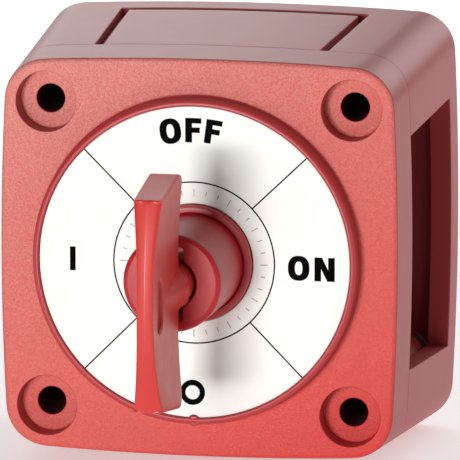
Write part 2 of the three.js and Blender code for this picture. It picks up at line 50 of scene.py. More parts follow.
REAR_HALF, FRONT_HALF, CASE_DEPTH = 34.925, 32.1, 46.4
SIDE_BULGE, REAR_CORNER, FRONT_CORNER, INNER_CORNER = 1.1, 6.3, 6.7, 1.5
PARTING, PARTING_GAP = 35.3, 0.04
SKIRT_WALL, FRAME_WALL, FACE_WALL = 3.4, 3.5, 3.2
RIM_HEIGHT, COVER_THICK, COVER_CLEARANCE, COVER_ROUND = 5.6, 2.4, 0.2, 0.25
FRONT_ROUND, PARTING_ROUND, EDGE_ROUND = 0.7, 0.08, 0.22
SNAP_WALL, SNAP_THICK, SNAP_TIP, SNAP_X = 30.6, 1.2, 31.75, 16.0
SNAP_HALF, SNAP_HOOK, SNAP_ROOT = 2.0, (3.6, 4.6), 0.2
SNAP_POCKET, SNAP_POCKET_HALF, SNAP_POCKET_SPAN = (30.3, 32.3), 2.5, (3.2, 5.0)

WINDOW_HALF_FRONT, WINDOW_HALF_REAR = 19.0, 20.7
PANEL_GROOVE, PANEL_GROOVE_REAR, PANEL_GROOVE_DEPTH, PANEL_LAP, PLATE_CLEARANCE = 1.4, 1.5, 1.4, 0.5, 0.15
STRIP_HALF, STRIP_REAR, STRIP_FRONT, STRIP_INSET, STRIP_THICK = 12.0, 3.9, 39.8, 0.2, 1.4

HOLE_PITCH, HOLE_R, COUNTERBORE_R, COUNTERBORE_DEPTH = 49.3, 2.3, 4.85, 3.8
HOLE_ROUND, COUNTERBORE_ROUND, COUNTERBORE_LIP, CUT_PAST_FACE = 0.25, 0.3, 0.28, 0.015
COUNTERBORE_FLOOR = CASE_DEPTH - COUNTERBORE_DEPTH
COLUMN_R, COLUMN_TIE, COLUMN_CLEARANCE, COLUMN_INSET = 6.4, 2.0, 0.3, 1.2

BOSS_R, LIP_INNER_R, LIP_TOP, BOSS_LAP = 26.2, 25.15, 50.0, 0.3
BOSS_FILLET, BOSS_ROUND, LIP_ROUND, COLLAR_ROUND, BEARING_ROUND = 0.8, 0.72, 0.25, 0.35, 0.15
LABEL_SEAT, LABEL_TOP, LABEL_R = 49.05, 49.5, 25.05
LABEL_CLEARANCE, LABEL_GAP, LABEL_ROUND = 0.15, 0.05, 0.12
COLLAR_R, COLLAR_TOP, BEARING_R = 9.4, 51.0, 8.3
NOTCH_R, NOTCH_OUT, NOTCH_DROP, NOTCH_ROUND, NOTCH_CLEARANCE = 0.9, 25.55, 0.15, 0.3, 0.1

SOCKET_FOOT_R, SOCKET_TIP_R, SOCKET_TOP, SOCKET_ROUND, SHOULDER_R = 8.05, 7.75, 68.0, 0.85, 8.22
FLANGE_R, FLANGE_LOW, FLANGE_HIGH, FLANGE_ROUND = 12.5, 43.5, 46.0, 0.3
POCKET_R, POCKET_TOP = 13.2, 46.6
SHAFT_HALF, SHAFT_END = 4.6, 39.45
KEYHOLE_R, KEYHOLE_SLOT_HALF, KEYHOLE_REACH, KEYHOLE_FLOOR = 3.9, 1.85, 5.8, 50.8
KEYHOLE_THROAT, KEYHOLE_END_ROUND, KEYHOLE_LIP = 1.25, 0.55, 0.3
SHAFT_SCREW_REACH = 44.3
O_RING_GROOVE_R, O_RING_H, O_RING_GROOVE_HALF = 6.75, 47.75, 0.8
BARREL_R, BARREL_TIP, BARREL_ROUND = 3.5, 51.2, 0.6
WING_HALF, WING_REACH, WING_LOW, WING_HIGH, WING_ROUND = 1.35, 5.3, 52.2, 59.0, 0.3
HANDLE_BACK, HANDLE_CROWN, HANDLE_BACK_REACH, HANDLE_OFFSET = 70.4, 89.0, 15.6, -0.25
HANDLE_FOOT = HANDLE_BACK + 0.2
HANDLE_CORNER, HANDLE_WIDE, HANDLE_TIP = (16.5, 86.4), (18.4, 73.2), 0.4
HANDLE_HALF, HANDLE_FLARE, HANDLE_FLARE_POWER, HANDLE_DRAFT, FLARE_DRAFT = 1.3, 1.0, 2.5, 0.3, 0.35
CONE_LOW, CONE_HIGH, CONE_FOOT_R, CONE_TIP_R = 70.8, 80.5, BARREL_R + 0.03, 0.9
CONE_POWER, CONE_BLEND = 0.85, 0.9
GRIP_LOW, GRIP_HIGH, GRIP_H, GRIP_HALF, GRIP_DEPTH = -4.5, 3.75, 83.7, 2.2, 0.45

SCREW_CIRCLE_R, SCREW_ANGLES = 22.9, (30, 150, 210, 330)
SCREW_R, SCREW_HOLE_R, SCREW_TIP, SCREW_HEAD_R, PILOT_SPARE = 1.4, 1.6, 45.4, 3.0, 0.3
SCREW_HEAD_LOW, SCREW_HEAD_HIGH, SCREW_PITCH, SCREW_THREAD = 21.9, 23.9, 1.0, 0.35
# The cross recess: the half sizes of one arm, and how far it grows with its depth into the head.
RECESS, RECESS_TAPER = (0.3, 1.5), ((-0.5, 1.1), (1.1, 0.6))
STUD_X, STUD_R, STUD_END, STUD_PITCH, STUD_HOLE_R = 12.0, 5.0, 4.6, 1.5, 5.25
STUD_THREAD = 0.6 * STUD_PITCH
CHAMBER_FLOOR, PAD_R, PAD_TOP, PAD_INNER, PAD_ROUND = 27.0, 6.2, 29.4, 8.0, 0.25
NUT_FLATS, NUT_BORE_R, NUT_LEAD = 16.0, 5.12, 0.6
JAM_NUT, STUD_NUT = (18.8, 23.9), (5.2, 10.2)
FLAT_WASHER, FLAT_WASHER_R, FLAT_WASHER_ROUND = (12.4, 14.2), 10.0, 0.18
LOCK_WASHER, LOCK_WASHER_R, LOCK_WASHER_RISE, LOCK_WASHER_ROUND = (10.3, 12.3), 8.6, 0.3, 0.15
LOCK_WASHER_GAP = 5.0

# A tool that has to come out past the part goes on to PAST, and one that only has to break a surface goes
# THROUGH. Joined solids overlap by JOIN.
PAST, THROUGH, JOIN = 60, 1, 0.01

# How finely curves are cut.
RING_STEPS, SMALL_RING_STEPS, HOLE_STEPS = 128, 48, 24
PIER_STEPS, WINDOW_STEPS, CORNER_STEPS = 4, 16, 10
FILLET_STEPS, SMALL_FILLET_STEPS, KEYHOLE_STEPS, THREAD_ROWS = 5, 3, 8, 8
CREASE_ANGLE = 32

SIDES = (("left", -1), ("right", 1))
CORNERS = ((1, 1), (-1, 1), (-1, -1), (1, -1))


# ---- Drawing ----


def in_frame(x, y, h):
    """A drawn point, in millimetres, as the frame holds it, in metres."""
    return (x * MM, -h * MM, y * MM)


def mix(a, b, share):
    return a + (b - a) * share


def spread(low, high, steps):
    """Evenly spaced values from low up to, and not including, high."""
    return [mix(low, high, i / steps) for i in range(steps)]


def on_dial(degrees, radius):
    """A direction on the dial, clockwise from the top, at a radius."""
    angle = math.radians(degrees)
    return radius * math.sin(angle), radius * math.cos(angle)


def solid(name, points, faces):
    """A mesh object of drawn points, with its doubled points merged and its faces turned outwards."""
    mesh = bpy.data.meshes.new(name)
    mesh.from_pydata([in_frame(*point) for point in points], [], faces)
    made = bmesh.new()
    made.from_mesh(mesh)
    bmesh.ops.remove_doubles(made, verts=made.verts, dist=1e-7)
    bmesh.ops.recalc_face_normals(made, faces=made.faces)
    made.to_mesh(mesh)
    made.free()
    item = bpy.data.objects.new(name, mesh)
    bpy.context.scene.collection.objects.link(item)
    return item


def skin(name, loops, ends=True):
    """A solid skinned over loops of equally many points, closed at both ends by flat faces."""
    count = len(loops[0])
    points = [point for loop in loops for point in loop]
    faces = [
        (k * count + i, k * count + (i + 1) % count, (k + 1) * count + (i + 1) % count, (k + 1) * count + i)
        for k in range(len(loops) - 1)
        for i in range(count)
    ]
    if ends:
        faces.append(tuple(range(count)))
        faces.append(tuple(range((len(loops) - 1) * count, len(loops) * count)))
    return solid(name, points, faces)


def rounded(corners, steps=FILLET_STEPS):
    """A closed outline of (a, b, radius) corners, each turned on an arc of its radius."""
    outline = []
    for i, (a, b, radius) in enumerate(corners):
        here = Vector((a, b))
        back = (Vector(corners[i - 1][:2]) - here).normalized()
        ahead = (Vector(corners[(i + 1) % len(corners)][:2]) - here).normalized()
        if not radius:
            outline.append((a, b))
            continue
        half = back.angle(ahead) / 2
        centre = here + (back + ahead).normalized() * radius / math.sin(half)
        start = here + back * radius / math.tan(half) - centre
        sweep = math.pi - 2 * half
        if back.x * ahead.y - back.y * ahead.x > 0:
            sweep = -sweep
        for k in range(steps + 1):
            turn = sweep * k / steps
            outline.append((
                centre.x + start.x * math.cos(turn) - start.y * math.sin(turn),
                centre.y + start.x * math.sin(turn) + start.y * math.cos(turn),
            ))
    return outline


def lathe(name, profile, at=(0.0, 0.0), segments=RING_STEPS):
    """A closed outline of (radius, height), turned round an axis along h."""
    loops = []
    for k in range(segments + 1):
        across, up = on_dial(360 * (k % segments) / segments, 1)
        loops.append([(at[0] + r * across, at[1] + r * up, h) for r, h in profile])
    return skin(name, loops, ends=False)


def prism(name, outline, low, high):
    """An (x, y) outline extruded along h."""
    return skin(name, [[(x, y, h) for x, y in outline] for h in (low, high)])


def block(name, x_span, y_span, h_span):
    corners = [(x_span[i], y_span[j]) for i, j in ((0, 0), (1, 0), (1, 1), (0, 1))]
    return prism(name, corners, *h_span)


def settle(item):
    """Applies an object's modifiers to its mesh."""
    graph = bpy.context.evaluated_depsgraph_get()
    made = bpy.data.meshes.new_from_object(item.evaluated_get(graph))
    old = item.data
    item.modifiers.clear()
    item.data = made
    bpy.data.meshes.remove(old)
    return item


def combine(item, operation, *tools):
    """Joins, cuts or meets an object with tools, which are used up."""
    for tool in tools:
        step = item.modifiers.new(operation, "BOOLEAN")
        step.operation, step.object, step.solver = operation, tool, "EXACT"
        settle(item)
        mesh = tool.data
        bpy.data.objects.remove(tool)
        bpy.data.meshes.remove(mesh)
    return item


def union(item, *tools):
    return combine(item, "UNION", *tools)


def cut(item, *tools):
    return combine(item, "DIFFERENCE", *tools)


def meet(item, *tools):
    return combine(item, "INTERSECT", *tools)


def bevel(item, width, segments, angle, apply=True):
    """Rounds the edges that are sharper than an angle, in degrees."""
    step = item.modifiers.new("bevel", "BEVEL")
    step.width, step.segments = width * MM, segments
    step.limit_method, step.angle_limit = "ANGLE", math.radians(angle)
    step.miter_outer = "MITER_ARC"
    return settle(item) if apply else item


def shade(item):
    """Smooth shading, with creases at sharp edges, and flat faces kept flat beside small rounds."""
    item.data.shade_smooth()
    item.data.set_sharp_from_angle(angle=math.radians(CREASE_ANGLE))
    weigh = item.modifiers.new("weighted", "WEIGHTED_NORMAL")
    weigh.keep_sharp = True


def done(item, body, material, stands_for=()):
    """Shades a finished piece, gives it its material, and hangs it on its CAD body."""
    shade(item)
    if material is not None:
        item.data.materials.clear()
        item.data.materials.append(material)
    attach(item, body)
    if stands_for:
        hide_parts(*stands_for)
    return item


# ---- Case outlines ----


def window_half(h):
    """Half the width of the cable windows at a height."""
    return mix(WINDOW_HALF_REAR, WINDOW_HALF_FRONT, (h - RIM_HEIGHT) / (PARTING - RIM_HEIGHT))


def case_loop(h, inset=0.0, margin=0.0):
    """The case's outline at a height, drawn in by an inset: barrel-shaped sides and round corners.

    Each side has a point at the window's two edges, so walls can be opened there. A margin moves them.
    """
    along = h / CASE_DEPTH
    half = mix(REAR_HALF, FRONT_HALF, along) - inset
    corner = max(mix(REAR_CORNER, FRONT_CORNER, along) - inset, INNER_CORNER)
    centre = half - corner - SIDE_BULGE * ((half - corner) / half) ** 2
    slope = math.atan(2 * SIDE_BULGE * centre / half**2)
    reach = centre + corner * math.sin(slope)
    window = window_half(h) + margin
    ups = spread(-reach, -window, PIER_STEPS) + spread(-window, window, WINDOW_STEPS)
    ups += spread(window, reach, PIER_STEPS)
    quarter = [(half - SIDE_BULGE * (y / half) ** 2, y) for y in ups]
    for angle in spread(slope, math.pi / 2 - slope, CORNER_STEPS):
        quarter.append((centre + corner * math.cos(angle), centre + corner * math.sin(angle)))
    loop = []
    for turn in range(4):
        cos, sin = (1, 0, -1, 0)[turn], (0, 1, 0, -1)[turn]
        loop += [(x * cos - y * sin, x * sin + y * cos, h) for x, y in quarter]
    return loop


QUARTER = 2 * PIER_STEPS + WINDOW_STEPS + CORNER_STEPS


def case_form(name, low, high, inset=0.0):
    """The whole case form between two heights, drawn in by an inset."""
    return skin(name, [case_loop(low, inset), case_loop(high, inset)])


def in_window(i):
    """Whether the cell after point i of a case loop lies between a window's edges."""
    return PIER_STEPS <= i % QUARTER < PIER_STEPS + WINDOW_STEPS


def corner_column(name, sx, sy, radius, span, tie=COLUMN_TIE):
    """A mounting column, tied to the case's corner by a square block that starts a tie inside its axis."""
    at = HOLE_PITCH / 2
    low, high = span
    column = lathe(name, [(0, low), (radius, low), (radius, high), (0, high)], (sx * at, sy * at),
                   SMALL_RING_STEPS)
    reach = (at - tie, 40)
    square = block("tie", sorted(sx * r for r in reach), sorted(sy * r for r in reach), span)
    return union(column, square)


# ---- Case pieces ----


def build_front_case():
    """The moulded face: skirt, corner columns, dial boss with its lip and collar, and counterbored holes."""
    loops = [case_loop(PARTING + PARTING_ROUND * (1 - math.cos(t)), PARTING_ROUND * (1 - math.sin(t)))
             for t in (0, math.pi / 6, math.pi / 3, math.pi / 2)]
    for k in range(FILLET_STEPS + 2):
        turn = math.pi / 2 * k / (FILLET_STEPS + 1)
        loops.append(case_loop(CASE_DEPTH - FRONT_ROUND * (1 - math.sin(turn)),
                               FRONT_ROUND * (1 - math.cos(turn))))
    face = skin("front_case_shell", loops)
    back, clear = PARTING - THROUGH, CASE_DEPTH + CUT_PAST_FACE
    drill = rounded([
        (0, back, 0), (HOLE_R, back, 0), (HOLE_R, COUNTERBORE_FLOOR, HOLE_ROUND),
        (COUNTERBORE_R, COUNTERBORE_FLOOR, COUNTERBORE_ROUND), (COUNTERBORE_R, clear, COUNTERBORE_LIP),
        (COUNTERBORE_R + THROUGH, clear, 0), (COUNTERBORE_R + THROUGH, PAST, 0), (0, PAST, 0),
    ])
    for sx, sy in CORNERS:
        cut(face, lathe("drill", drill, (sx * HOLE_PITCH / 2, sy * HOLE_PITCH / 2), 64))
    face_back = CASE_DEPTH - FACE_WALL
    hollow = case_form("hollow", back, face_back, SKIRT_WALL)
    for sx, sy in CORNERS:
        cut(hollow, corner_column("column", sx, sy, COLUMN_R, (back - THROUGH, CASE_DEPTH)))
    cut(face, hollow)

    bore = BOSS_R - 1
    cut(face, lathe("bore", [(0, back), (bore, back), (bore, PAST), (0, PAST)]))
    foot = BOSS_R + BOSS_FILLET + BOSS_LAP
    boss = rounded([
        (BEARING_R, POCKET_TOP, 0), (POCKET_R, POCKET_TOP, 0), (POCKET_R, face_back + JOIN, 0),
        (foot, face_back + JOIN, 0), (foot, CASE_DEPTH - JOIN, 0),
        (BOSS_R, CASE_DEPTH - JOIN, BOSS_FILLET), (BOSS_R, LIP_TOP, BOSS_ROUND),
        (LIP_INNER_R, LIP_TOP, LIP_ROUND), (LIP_INNER_R, LABEL_SEAT, 0),
        (COLLAR_R, LABEL_SEAT, 0), (COLLAR_R, COLLAR_TOP, COLLAR_ROUND),
        (BEARING_R, COLLAR_TOP, BEARING_ROUND),
    ])
    union(face, lathe("boss", boss))
    low, high = LABEL_SEAT - BOSS_LAP, LIP_TOP - NOTCH_DROP
    notch = rounded([(0, low, 0), (NOTCH_R, low, 0), (NOTCH_R, high, NOTCH_ROUND), (0, high, 0)])
    union(face, lathe("notch", notch, (0, -NOTCH_OUT), 32))

    deep = SCREW_TIP + PILOT_SPARE
    pilot = [(0, PARTING), (SCREW_HOLE_R, PARTING), (SCREW_HOLE_R, deep), (0, deep)]
    for angle in SCREW_ANGLES:
        cut(face, lathe("pilot", pilot, on_dial(angle, SCREW_CIRCLE_R), HOLE_STEPS))
    return face


def open_wall(name, levels, wall):
    """A ring wall between heights, whose cells between the windows' edges are left out above the rim."""
    outer = [case_loop(h) for h in levels]
    inner = [case_loop(h, wall) for h in levels]
    count, rows = len(outer[0]), len(levels)
    points = [point for loops in (outer, inner) for loop in loops for point in loop]

    def at(side, k, i):
        return side * rows * count + k * count + i % count

    def solid_cell(k, i):
        return 0 <= k < rows - 1 and not (levels[k] >= RIM_HEIGHT and in_window(i % count))

    faces = []
    for k in range(rows - 1):
        for i in range(count):
            if not solid_cell(k, i):
                continue
            faces.append((at(0, k, i), at(0, k, i + 1), at(0, k + 1, i + 1), at(0, k + 1, i)))
            faces.append((at(1, k, i), at(1, k + 1, i), at(1, k + 1, i + 1), at(1, k, i + 1)))
            if not solid_cell(k - 1, i):
                faces.append((at(0, k, i), at(1, k, i), at(1, k, i + 1), at(0, k, i + 1)))
            if not solid_cell(k + 1, i):
                faces.append((at(0, k + 1, i), at(0, k + 1, i + 1), at(1, k + 1, i + 1), at(1, k + 1, i)))
            if not solid_cell(k, i - 1):
                faces.append((at(0, k, i), at(0, k + 1, i), at(1, k + 1, i), at(1, k, i)))
            if not solid_cell(k, i + 1):
                faces.append((at(0, k, i + 1), at(1, k, i + 1), at(1, k + 1, i + 1), at(0, k + 1, i + 1)))
    wall_piece = solid(name, points, faces)
    loose = bmesh.new()
    loose.from_mesh(wall_piece.data)
    bmesh.ops.delete(loose, geom=[v for v in loose.verts if not v.link_faces], context="VERTS")
    loose.to_mesh(wall_piece.data)
    loose.free()
    return wall_piece


def build_rear_frame():
    """The deep rear half: a closed rim, four corner posts, and the columns for the mounting screws."""
    top = PARTING - PARTING_GAP
    piece = open_wall("rear_frame_wall", [0, RIM_HEIGHT, mix(RIM_HEIGHT, top, 0.5), top], FRAME_WALL)
    bevel(piece, EDGE_ROUND, 2, 50)
    for sx, sy in CORNERS:
        column = corner_column("column", sx, sy, COLUMN_R, (2 * JOIN, top - 2 * JOIN))
        meet(column, case_form("form", -THROUGH, top + THROUGH, COLUMN_INSET))
        union(piece, column)
    wide = HOLE_R + THROUGH
    drill = rounded([(0, -THROUGH, 0), (wide, -THROUGH, 0), (wide, 0, 0), (HOLE_R, 0, COUNTERBORE_ROUND),
                     (HOLE_R, PAST, 0), (0, PAST, 0)])
    for sx, sy in CORNERS:
        cut(piece, lathe("drill", drill, (sx * HOLE_PITCH / 2, sy * HOLE_PITCH / 2), SMALL_RING_STEPS))
        cut(piece, block("pocket", (sx * SNAP_X - SNAP_POCKET_HALF, sx * SNAP_X + SNAP_POCKET_HALF),
                         sorted(sy * reach for reach in SNAP_POCKET), SNAP_POCKET_SPAN))
    return piece


def build_rear_cover():
    """The flat rear cover, notched round the columns, with four hooked tabs."""
    edge, inset = COVER_ROUND, FRAME_WALL + COVER_CLEARANCE
    soft = edge * 0.3
    levels = [(0, edge), (soft, soft), (edge, 0), (COVER_THICK - edge, 0), (COVER_THICK - soft, soft),
              (COVER_THICK, edge)]
    plate = skin("rear_cover_plate", [case_loop(h, inset + more) for h, more in levels])
    for sx, sy in CORNERS:
        cut(plate, corner_column("column", sx, sy, COLUMN_R + COLUMN_CLEARANCE, (-1, 10),
                                 COLUMN_TIE + COLUMN_CLEARANCE))
    for sx, sy in CORNERS:
        across = (sx * SNAP_X - SNAP_HALF, sx * SNAP_X + SNAP_HALF)
        inner = sy * (SNAP_WALL - SNAP_THICK)
        stem = block("stem", across, sorted((sy * SNAP_WALL, inner)), (COVER_THICK - SNAP_ROOT, SNAP_HOOK[1]))
        hook = block("hook", across, sorted((sy * SNAP_TIP, inner)), SNAP_HOOK)
        union(plate, stem, hook)
    return plate


def case_patch(name, levels, margin, outer, inner):
    """A curved panel in the top window: the case's surface between two insets and the window's edges."""
    loops = []
    first, last = QUARTER + PIER_STEPS, QUARTER + PIER_STEPS + WINDOW_STEPS
    for h in levels:
        front = case_loop(h, outer, margin)[first:last + 1]
        behind = case_loop(h, inner, margin)[first:last + 1]
        loops.append(front + behind[::-1])
    return skin(name, loops)


def build_side_plate(name, up):
    """A blanking plate: a flush panel, the flange that floors its groove, and a strip behind them."""
    front = PARTING - 2 * PARTING_GAP
    panel = case_patch(name, [RIM_HEIGHT + PANEL_GROOVE_REAR, front], -PANEL_GROOVE, 0.0,
                       PANEL_GROOVE_DEPTH + PANEL_LAP)
    bevel(panel, EDGE_ROUND, 2, 50)
    flange = case_patch("flange", [RIM_HEIGHT + PLATE_CLEARANCE, front - JOIN], -PLATE_CLEARANCE,
                        PANEL_GROOVE_DEPTH, FRAME_WALL + STRIP_INSET + 0.05)
    union(panel, flange)
    outer = FRAME_WALL + STRIP_INSET
    strip = case_form("strip", STRIP_REAR, STRIP_FRONT, outer)
    cut(strip, case_form("inside", STRIP_REAR - THROUGH, STRIP_FRONT + THROUGH, outer + STRIP_THICK))
    meet(strip, block("limits", (-STRIP_HALF, STRIP_HALF), (20, 40), (STRIP_REAR, STRIP_FRONT)))
    union(panel, strip)
    if up < 0:
        panel.data.transform(Matrix.Rotation(math.pi, 4, "Y"))
    return panel


def build_label():
    """The printed dial plate, with rounded edges and the notch that keys it to the boss."""
    low, inner = LABEL_SEAT + LABEL_GAP, COLLAR_R + LABEL_CLEARANCE
    face = lathe("label_face", rounded([
        (inner, low, 0), (LABEL_R, low, 0), (LABEL_R, LABEL_TOP, LABEL_ROUND),
        (inner, LABEL_TOP, LABEL_ROUND),
    ], SMALL_FILLET_STEPS))
    radius = NOTCH_R + NOTCH_CLEARANCE
    notch = [(0, 40), (radius, 40), (radius, PAST), (0, PAST)]
    return cut(face, lathe("notch", notch, (0, -NOTCH_OUT), 32))


# ---- Print on the dial ----

INK = (LABEL_TOP - 0.01, LABEL_TOP + 0.02)
CIRCLE_R, LINE_HALF = 12.97, 0.115
TICKS, TICK_R, TICK_WIDTH, LONG_TICK, SHORT_TICK = 36, 11.3, 0.14, 1.2, 0.7
DIVIDER_END = LABEL_R - 0.03
DIVIDERS = (46.2, 135.7, 225, 315)


def ring_band(inner, outer, steps=96, squareness=2.0):
    """A flat ring between two (half width, half height) ovals, squared off by a squareness above 2."""
    points, faces = [], []
    for k in range(steps):
        across, up = on_dial(360 * k / steps, 1)
        across = math.copysign(abs(across) ** (2 / squareness), across)
        up = math.copysign(abs(up) ** (2 / squareness), up)
        for (wide, tall), h in ((inner, INK[0]), (outer, INK[0]), (outer, INK[1]), (inner, INK[1])):
            points.append((wide * across, tall * up, h))
    for k in range(steps):
        for i in range(4):
            a, b = 4 * k, 4 * ((k + 1) % steps)
            faces.append((a + i, a + (i + 1) % 4, b + (i + 1) % 4, b + i))
    return points, faces


def slab_of(outline):
    """A flat outline as points and faces, one print's thickness deep."""
    count = len(outline)
    points = [(x, y, h) for h in INK for x, y in outline]
    faces = [(i, (i + 1) % count, count + (i + 1) % count, count + i) for i in range(count)]
    return points, faces + [tuple(range(count)), tuple(range(count, 2 * count))]


def letter_o(width, height, side, top):
    """An O whose strokes are `side` thick left and right and `top` thick above and below."""
    half = (width / 2, height / 2)
    return ring_band((half[0] - side, half[1] - top), half, squareness=2.4)


def letter_f(width, height, stem, arm):
    """An F whose middle arm is a little shorter than its top one."""
    left, right, top, low = -width / 2, width / 2, height / 2, -height / 2
    middle, short = top - height * 0.385, right - 0.25
    return slab_of([
        (left, low), (left + stem, low), (left + stem, middle - arm), (short, middle - arm), (short, middle),
        (left + stem, middle), (left + stem, top - arm), (right, top - arm), (right, top), (left, top),
    ])


def letter_n(width, height, stem, block_width):
    """An N: two stems and a diagonal that starts as wide as a block at the top left."""
    left, right, top, low = -width / 2, width / 2, height / 2, -height / 2
    return slab_of([
        (left, low), (left + stem, low), (left + stem, top - height * 0.48), (right - block_width, low),
        (right, low), (right, top), (right - stem, top), (right - stem, top - height * 0.53),
        (left + block_width, top), (left, top),
    ])


def bar_band(width, height):
    """A plain upright bar."""
    x, y = width / 2, height / 2
    return slab_of([(-x, -y), (x, -y), (x, y), (-x, y)])


def printed(name, marks):
    """One piece of print: marks are (points, faces, x, y, clockwise tilt), put on the dial."""
    points, faces = [], []
    for (shape_points, shape_faces), x, y, tilt in marks:
        turn = math.radians(-tilt)
        start = len(points)
        for a, b, h in shape_points:
            points.append((x + a * math.cos(turn) - b * math.sin(turn),
                           y + a * math.sin(turn) + b * math.cos(turn), h))
        faces += [tuple(start + i for i in face) for face in shape_faces]
    return solid(name, points, faces)


def build_print():
    """The dial's lines, its words, and a ring of plain graduation ticks."""
    inner, outer = CIRCLE_R - LINE_HALF, CIRCLE_R + LINE_HALF
    lines = [(ring_band((inner, inner), (outer, outer), RING_STEPS), 0, 0, 0)]
    for angle in DIVIDERS:
        middle = on_dial(angle, (CIRCLE_R + DIVIDER_END) / 2)
        lines.append((bar_band(2 * LINE_HALF, DIVIDER_END - CIRCLE_R), *middle, angle))
    off = [
        (letter_o(3.45, 4.07, 1.12, 0.92), -3.81, 21.0, -7.5),
        (letter_f(2.6, 3.92, 1.1, 0.86), -0.11, 21.26, 0),
        (letter_f(2.6, 3.85, 1.1, 0.86), 3.1, 21.07, 7.5),
    ]
    on = [
        (letter_o(3.45, 4.0, 1.12, 0.92), 16.86, -0.3, 0),
        (letter_n(3.25, 3.83, 1.06, 1.2), 21.02, -0.38, 0),
    ]
    zero = [(ring_band((1.15, 1.14), (2.02, 2.05), 64), -0.22, -20.97, 0)]
    one = [(bar_band(0.92, 3.85), -19.64, 0.02, 0)]
    ticks = []
    for i in range(TICKS):
        angle = 360 * i // TICKS
        tick = bar_band(TICK_WIDTH, SHORT_TICK if i % 3 else LONG_TICK)
        ticks.append((tick, *on_dial(angle, TICK_R), angle))
    return {
        "print_lines": lines, "print_off": off, "print_on": on, "print_zero": zero, "print_one": one,
        "print_ticks": ticks,
    }


# ---- Key socket and key ----


def keyhole_loop(h, grow=0.0):
    """The keyhole's outline: a round bore with a slot across it, joined by S-shaped throats."""
    slot, reach, bore = KEYHOLE_SLOT_HALF + grow, KEYHOLE_REACH + grow, KEYHOLE_R + grow
    throat, end_round, steps = KEYHOLE_THROAT - grow, KEYHOLE_END_ROUND + grow, KEYHOLE_STEPS
    throat_y = math.sqrt((bore + throat) ** 2 - (slot + throat) ** 2)
    quarter = []
    for k in range(steps + 1):
        angle = math.pi / 2 * (1 - k / steps)
        quarter.append((slot - end_round + end_round * math.cos(angle),
                        reach - end_round + end_round * math.sin(angle)))
    meeting = math.atan2(throat_y, slot + throat)
    for k in range(1, steps + 1):
        angle = math.pi + meeting * k / steps
        quarter.append((slot + throat + throat * math.cos(angle), throat_y + throat * math.sin(angle)))
    for k in range(1, 2 * steps):
        angle = mix(meeting, 0, k / (2 * steps))
        quarter.append((bore * math.cos(angle), bore * math.sin(angle)))
    right = quarter + [(bore, 0)] + [(x, -y) for x, y in quarter[::-1]]
    return [(x, y, h) for x, y in right] + [(-x, -y, h) for x, y in right]


def build_key_socket():
    """The turning hub: a drafted round with a rolled rim, its flange and square shaft, and the keyhole."""
    groove_low, groove_high = O_RING_H - O_RING_GROOVE_HALF, O_RING_H + O_RING_GROOVE_HALF
    hub = lathe("key_socket_hub", rounded([
        (0, FLANGE_LOW, 0), (FLANGE_R, FLANGE_LOW, FLANGE_ROUND), (FLANGE_R, FLANGE_HIGH, FLANGE_ROUND),
        (SOCKET_FOOT_R, FLANGE_HIGH, 0), (SOCKET_FOOT_R, groove_low, 0), (O_RING_GROOVE_R, groove_low, 0),
        (O_RING_GROOVE_R, groove_high, 0), (SOCKET_FOOT_R, groove_high, 0),
        (SOCKET_FOOT_R, COLLAR_TOP - 0.8, 0), (SHOULDER_R, COLLAR_TOP - 0.7, 0),
        (SHOULDER_R, COLLAR_TOP - 0.3, 0), (SOCKET_FOOT_R, COLLAR_TOP - 0.1, 0),
        (SOCKET_TIP_R, SOCKET_TOP, SOCKET_ROUND), (0, SOCKET_TOP, 0),
    ]))
    across = (-SHAFT_HALF, SHAFT_HALF)
    union(hub, block("shaft", across, across, (SHAFT_END, FLANGE_LOW + 0.2)))
    lip = KEYHOLE_LIP
    loops = [keyhole_loop(KEYHOLE_FLOOR), keyhole_loop(SOCKET_TOP - lip)]
    for k in range(1, FILLET_STEPS + 1):
        turn = math.pi / 2 * k / FILLET_STEPS
        loops.append(keyhole_loop(SOCKET_TOP - lip + lip * math.sin(turn) + JOIN, lip * (1 - math.cos(turn))))
    loops.append(keyhole_loop(SOCKET_TOP + 3, lip))
    cut(hub, skin("keyhole", loops))
    hole = [(0, 30), (SCREW_HOLE_R, 30), (SCREW_HOLE_R, SHAFT_SCREW_REACH), (0, SHAFT_SCREW_REACH)]
    return cut(hub, lathe("screw_hole", hole, segments=HOLE_STEPS))


def quadratic(start, control, end, steps):
    """Points on a quadratic curve, without its end."""
    points = []
    for k in range(steps):
        t = k / steps
        points.append(tuple((1 - t) ** 2 * s + 2 * t * (1 - t) * c + t * t * e
                            for s, c, e in zip(start, control, end)))
    return points


def handle_outline():
    """The handle seen from its side, as (y, h), anticlockwise from its back left."""
    heel = (HANDLE_WIDE[0], HANDLE_FOOT)
    below = towards(HANDLE_CORNER, HANDLE_WIDE, HANDLE_TIP)
    past = towards(HANDLE_CORNER, (0, 2 * HANDLE_CROWN - HANDLE_CORNER[1]), HANDLE_TIP)
    crown = (0, 2 * HANDLE_CROWN - past[1])
    outline = spread_points((-HANDLE_BACK_REACH, HANDLE_BACK), (HANDLE_BACK_REACH, HANDLE_BACK), 20)
    outline += quadratic((HANDLE_BACK_REACH, HANDLE_BACK), heel, HANDLE_WIDE, 8)
    outline += spread_points(HANDLE_WIDE, below, 8)
    outline += quadratic(below, HANDLE_CORNER, past, 5)
    outline += quadratic(past, crown, mirrored(past), 40)
    outline += quadratic(mirrored(past), mirrored(HANDLE_CORNER), mirrored(below), 5)
    outline += spread_points(mirrored(below), mirrored(HANDLE_WIDE), 8)
    outline += quadratic(mirrored(HANDLE_WIDE), mirrored(heel), (-HANDLE_BACK_REACH, HANDLE_BACK), 8)
    return outline


def mirrored(point):
    return -point[0], point[1]


def towards(start, end, reach):
    """The point that lies a reach from start, on the way to end."""
    step = Vector((end[0] - start[0], end[1] - start[1])).normalized() * reach
    return start[0] + step.x, start[1] + step.y


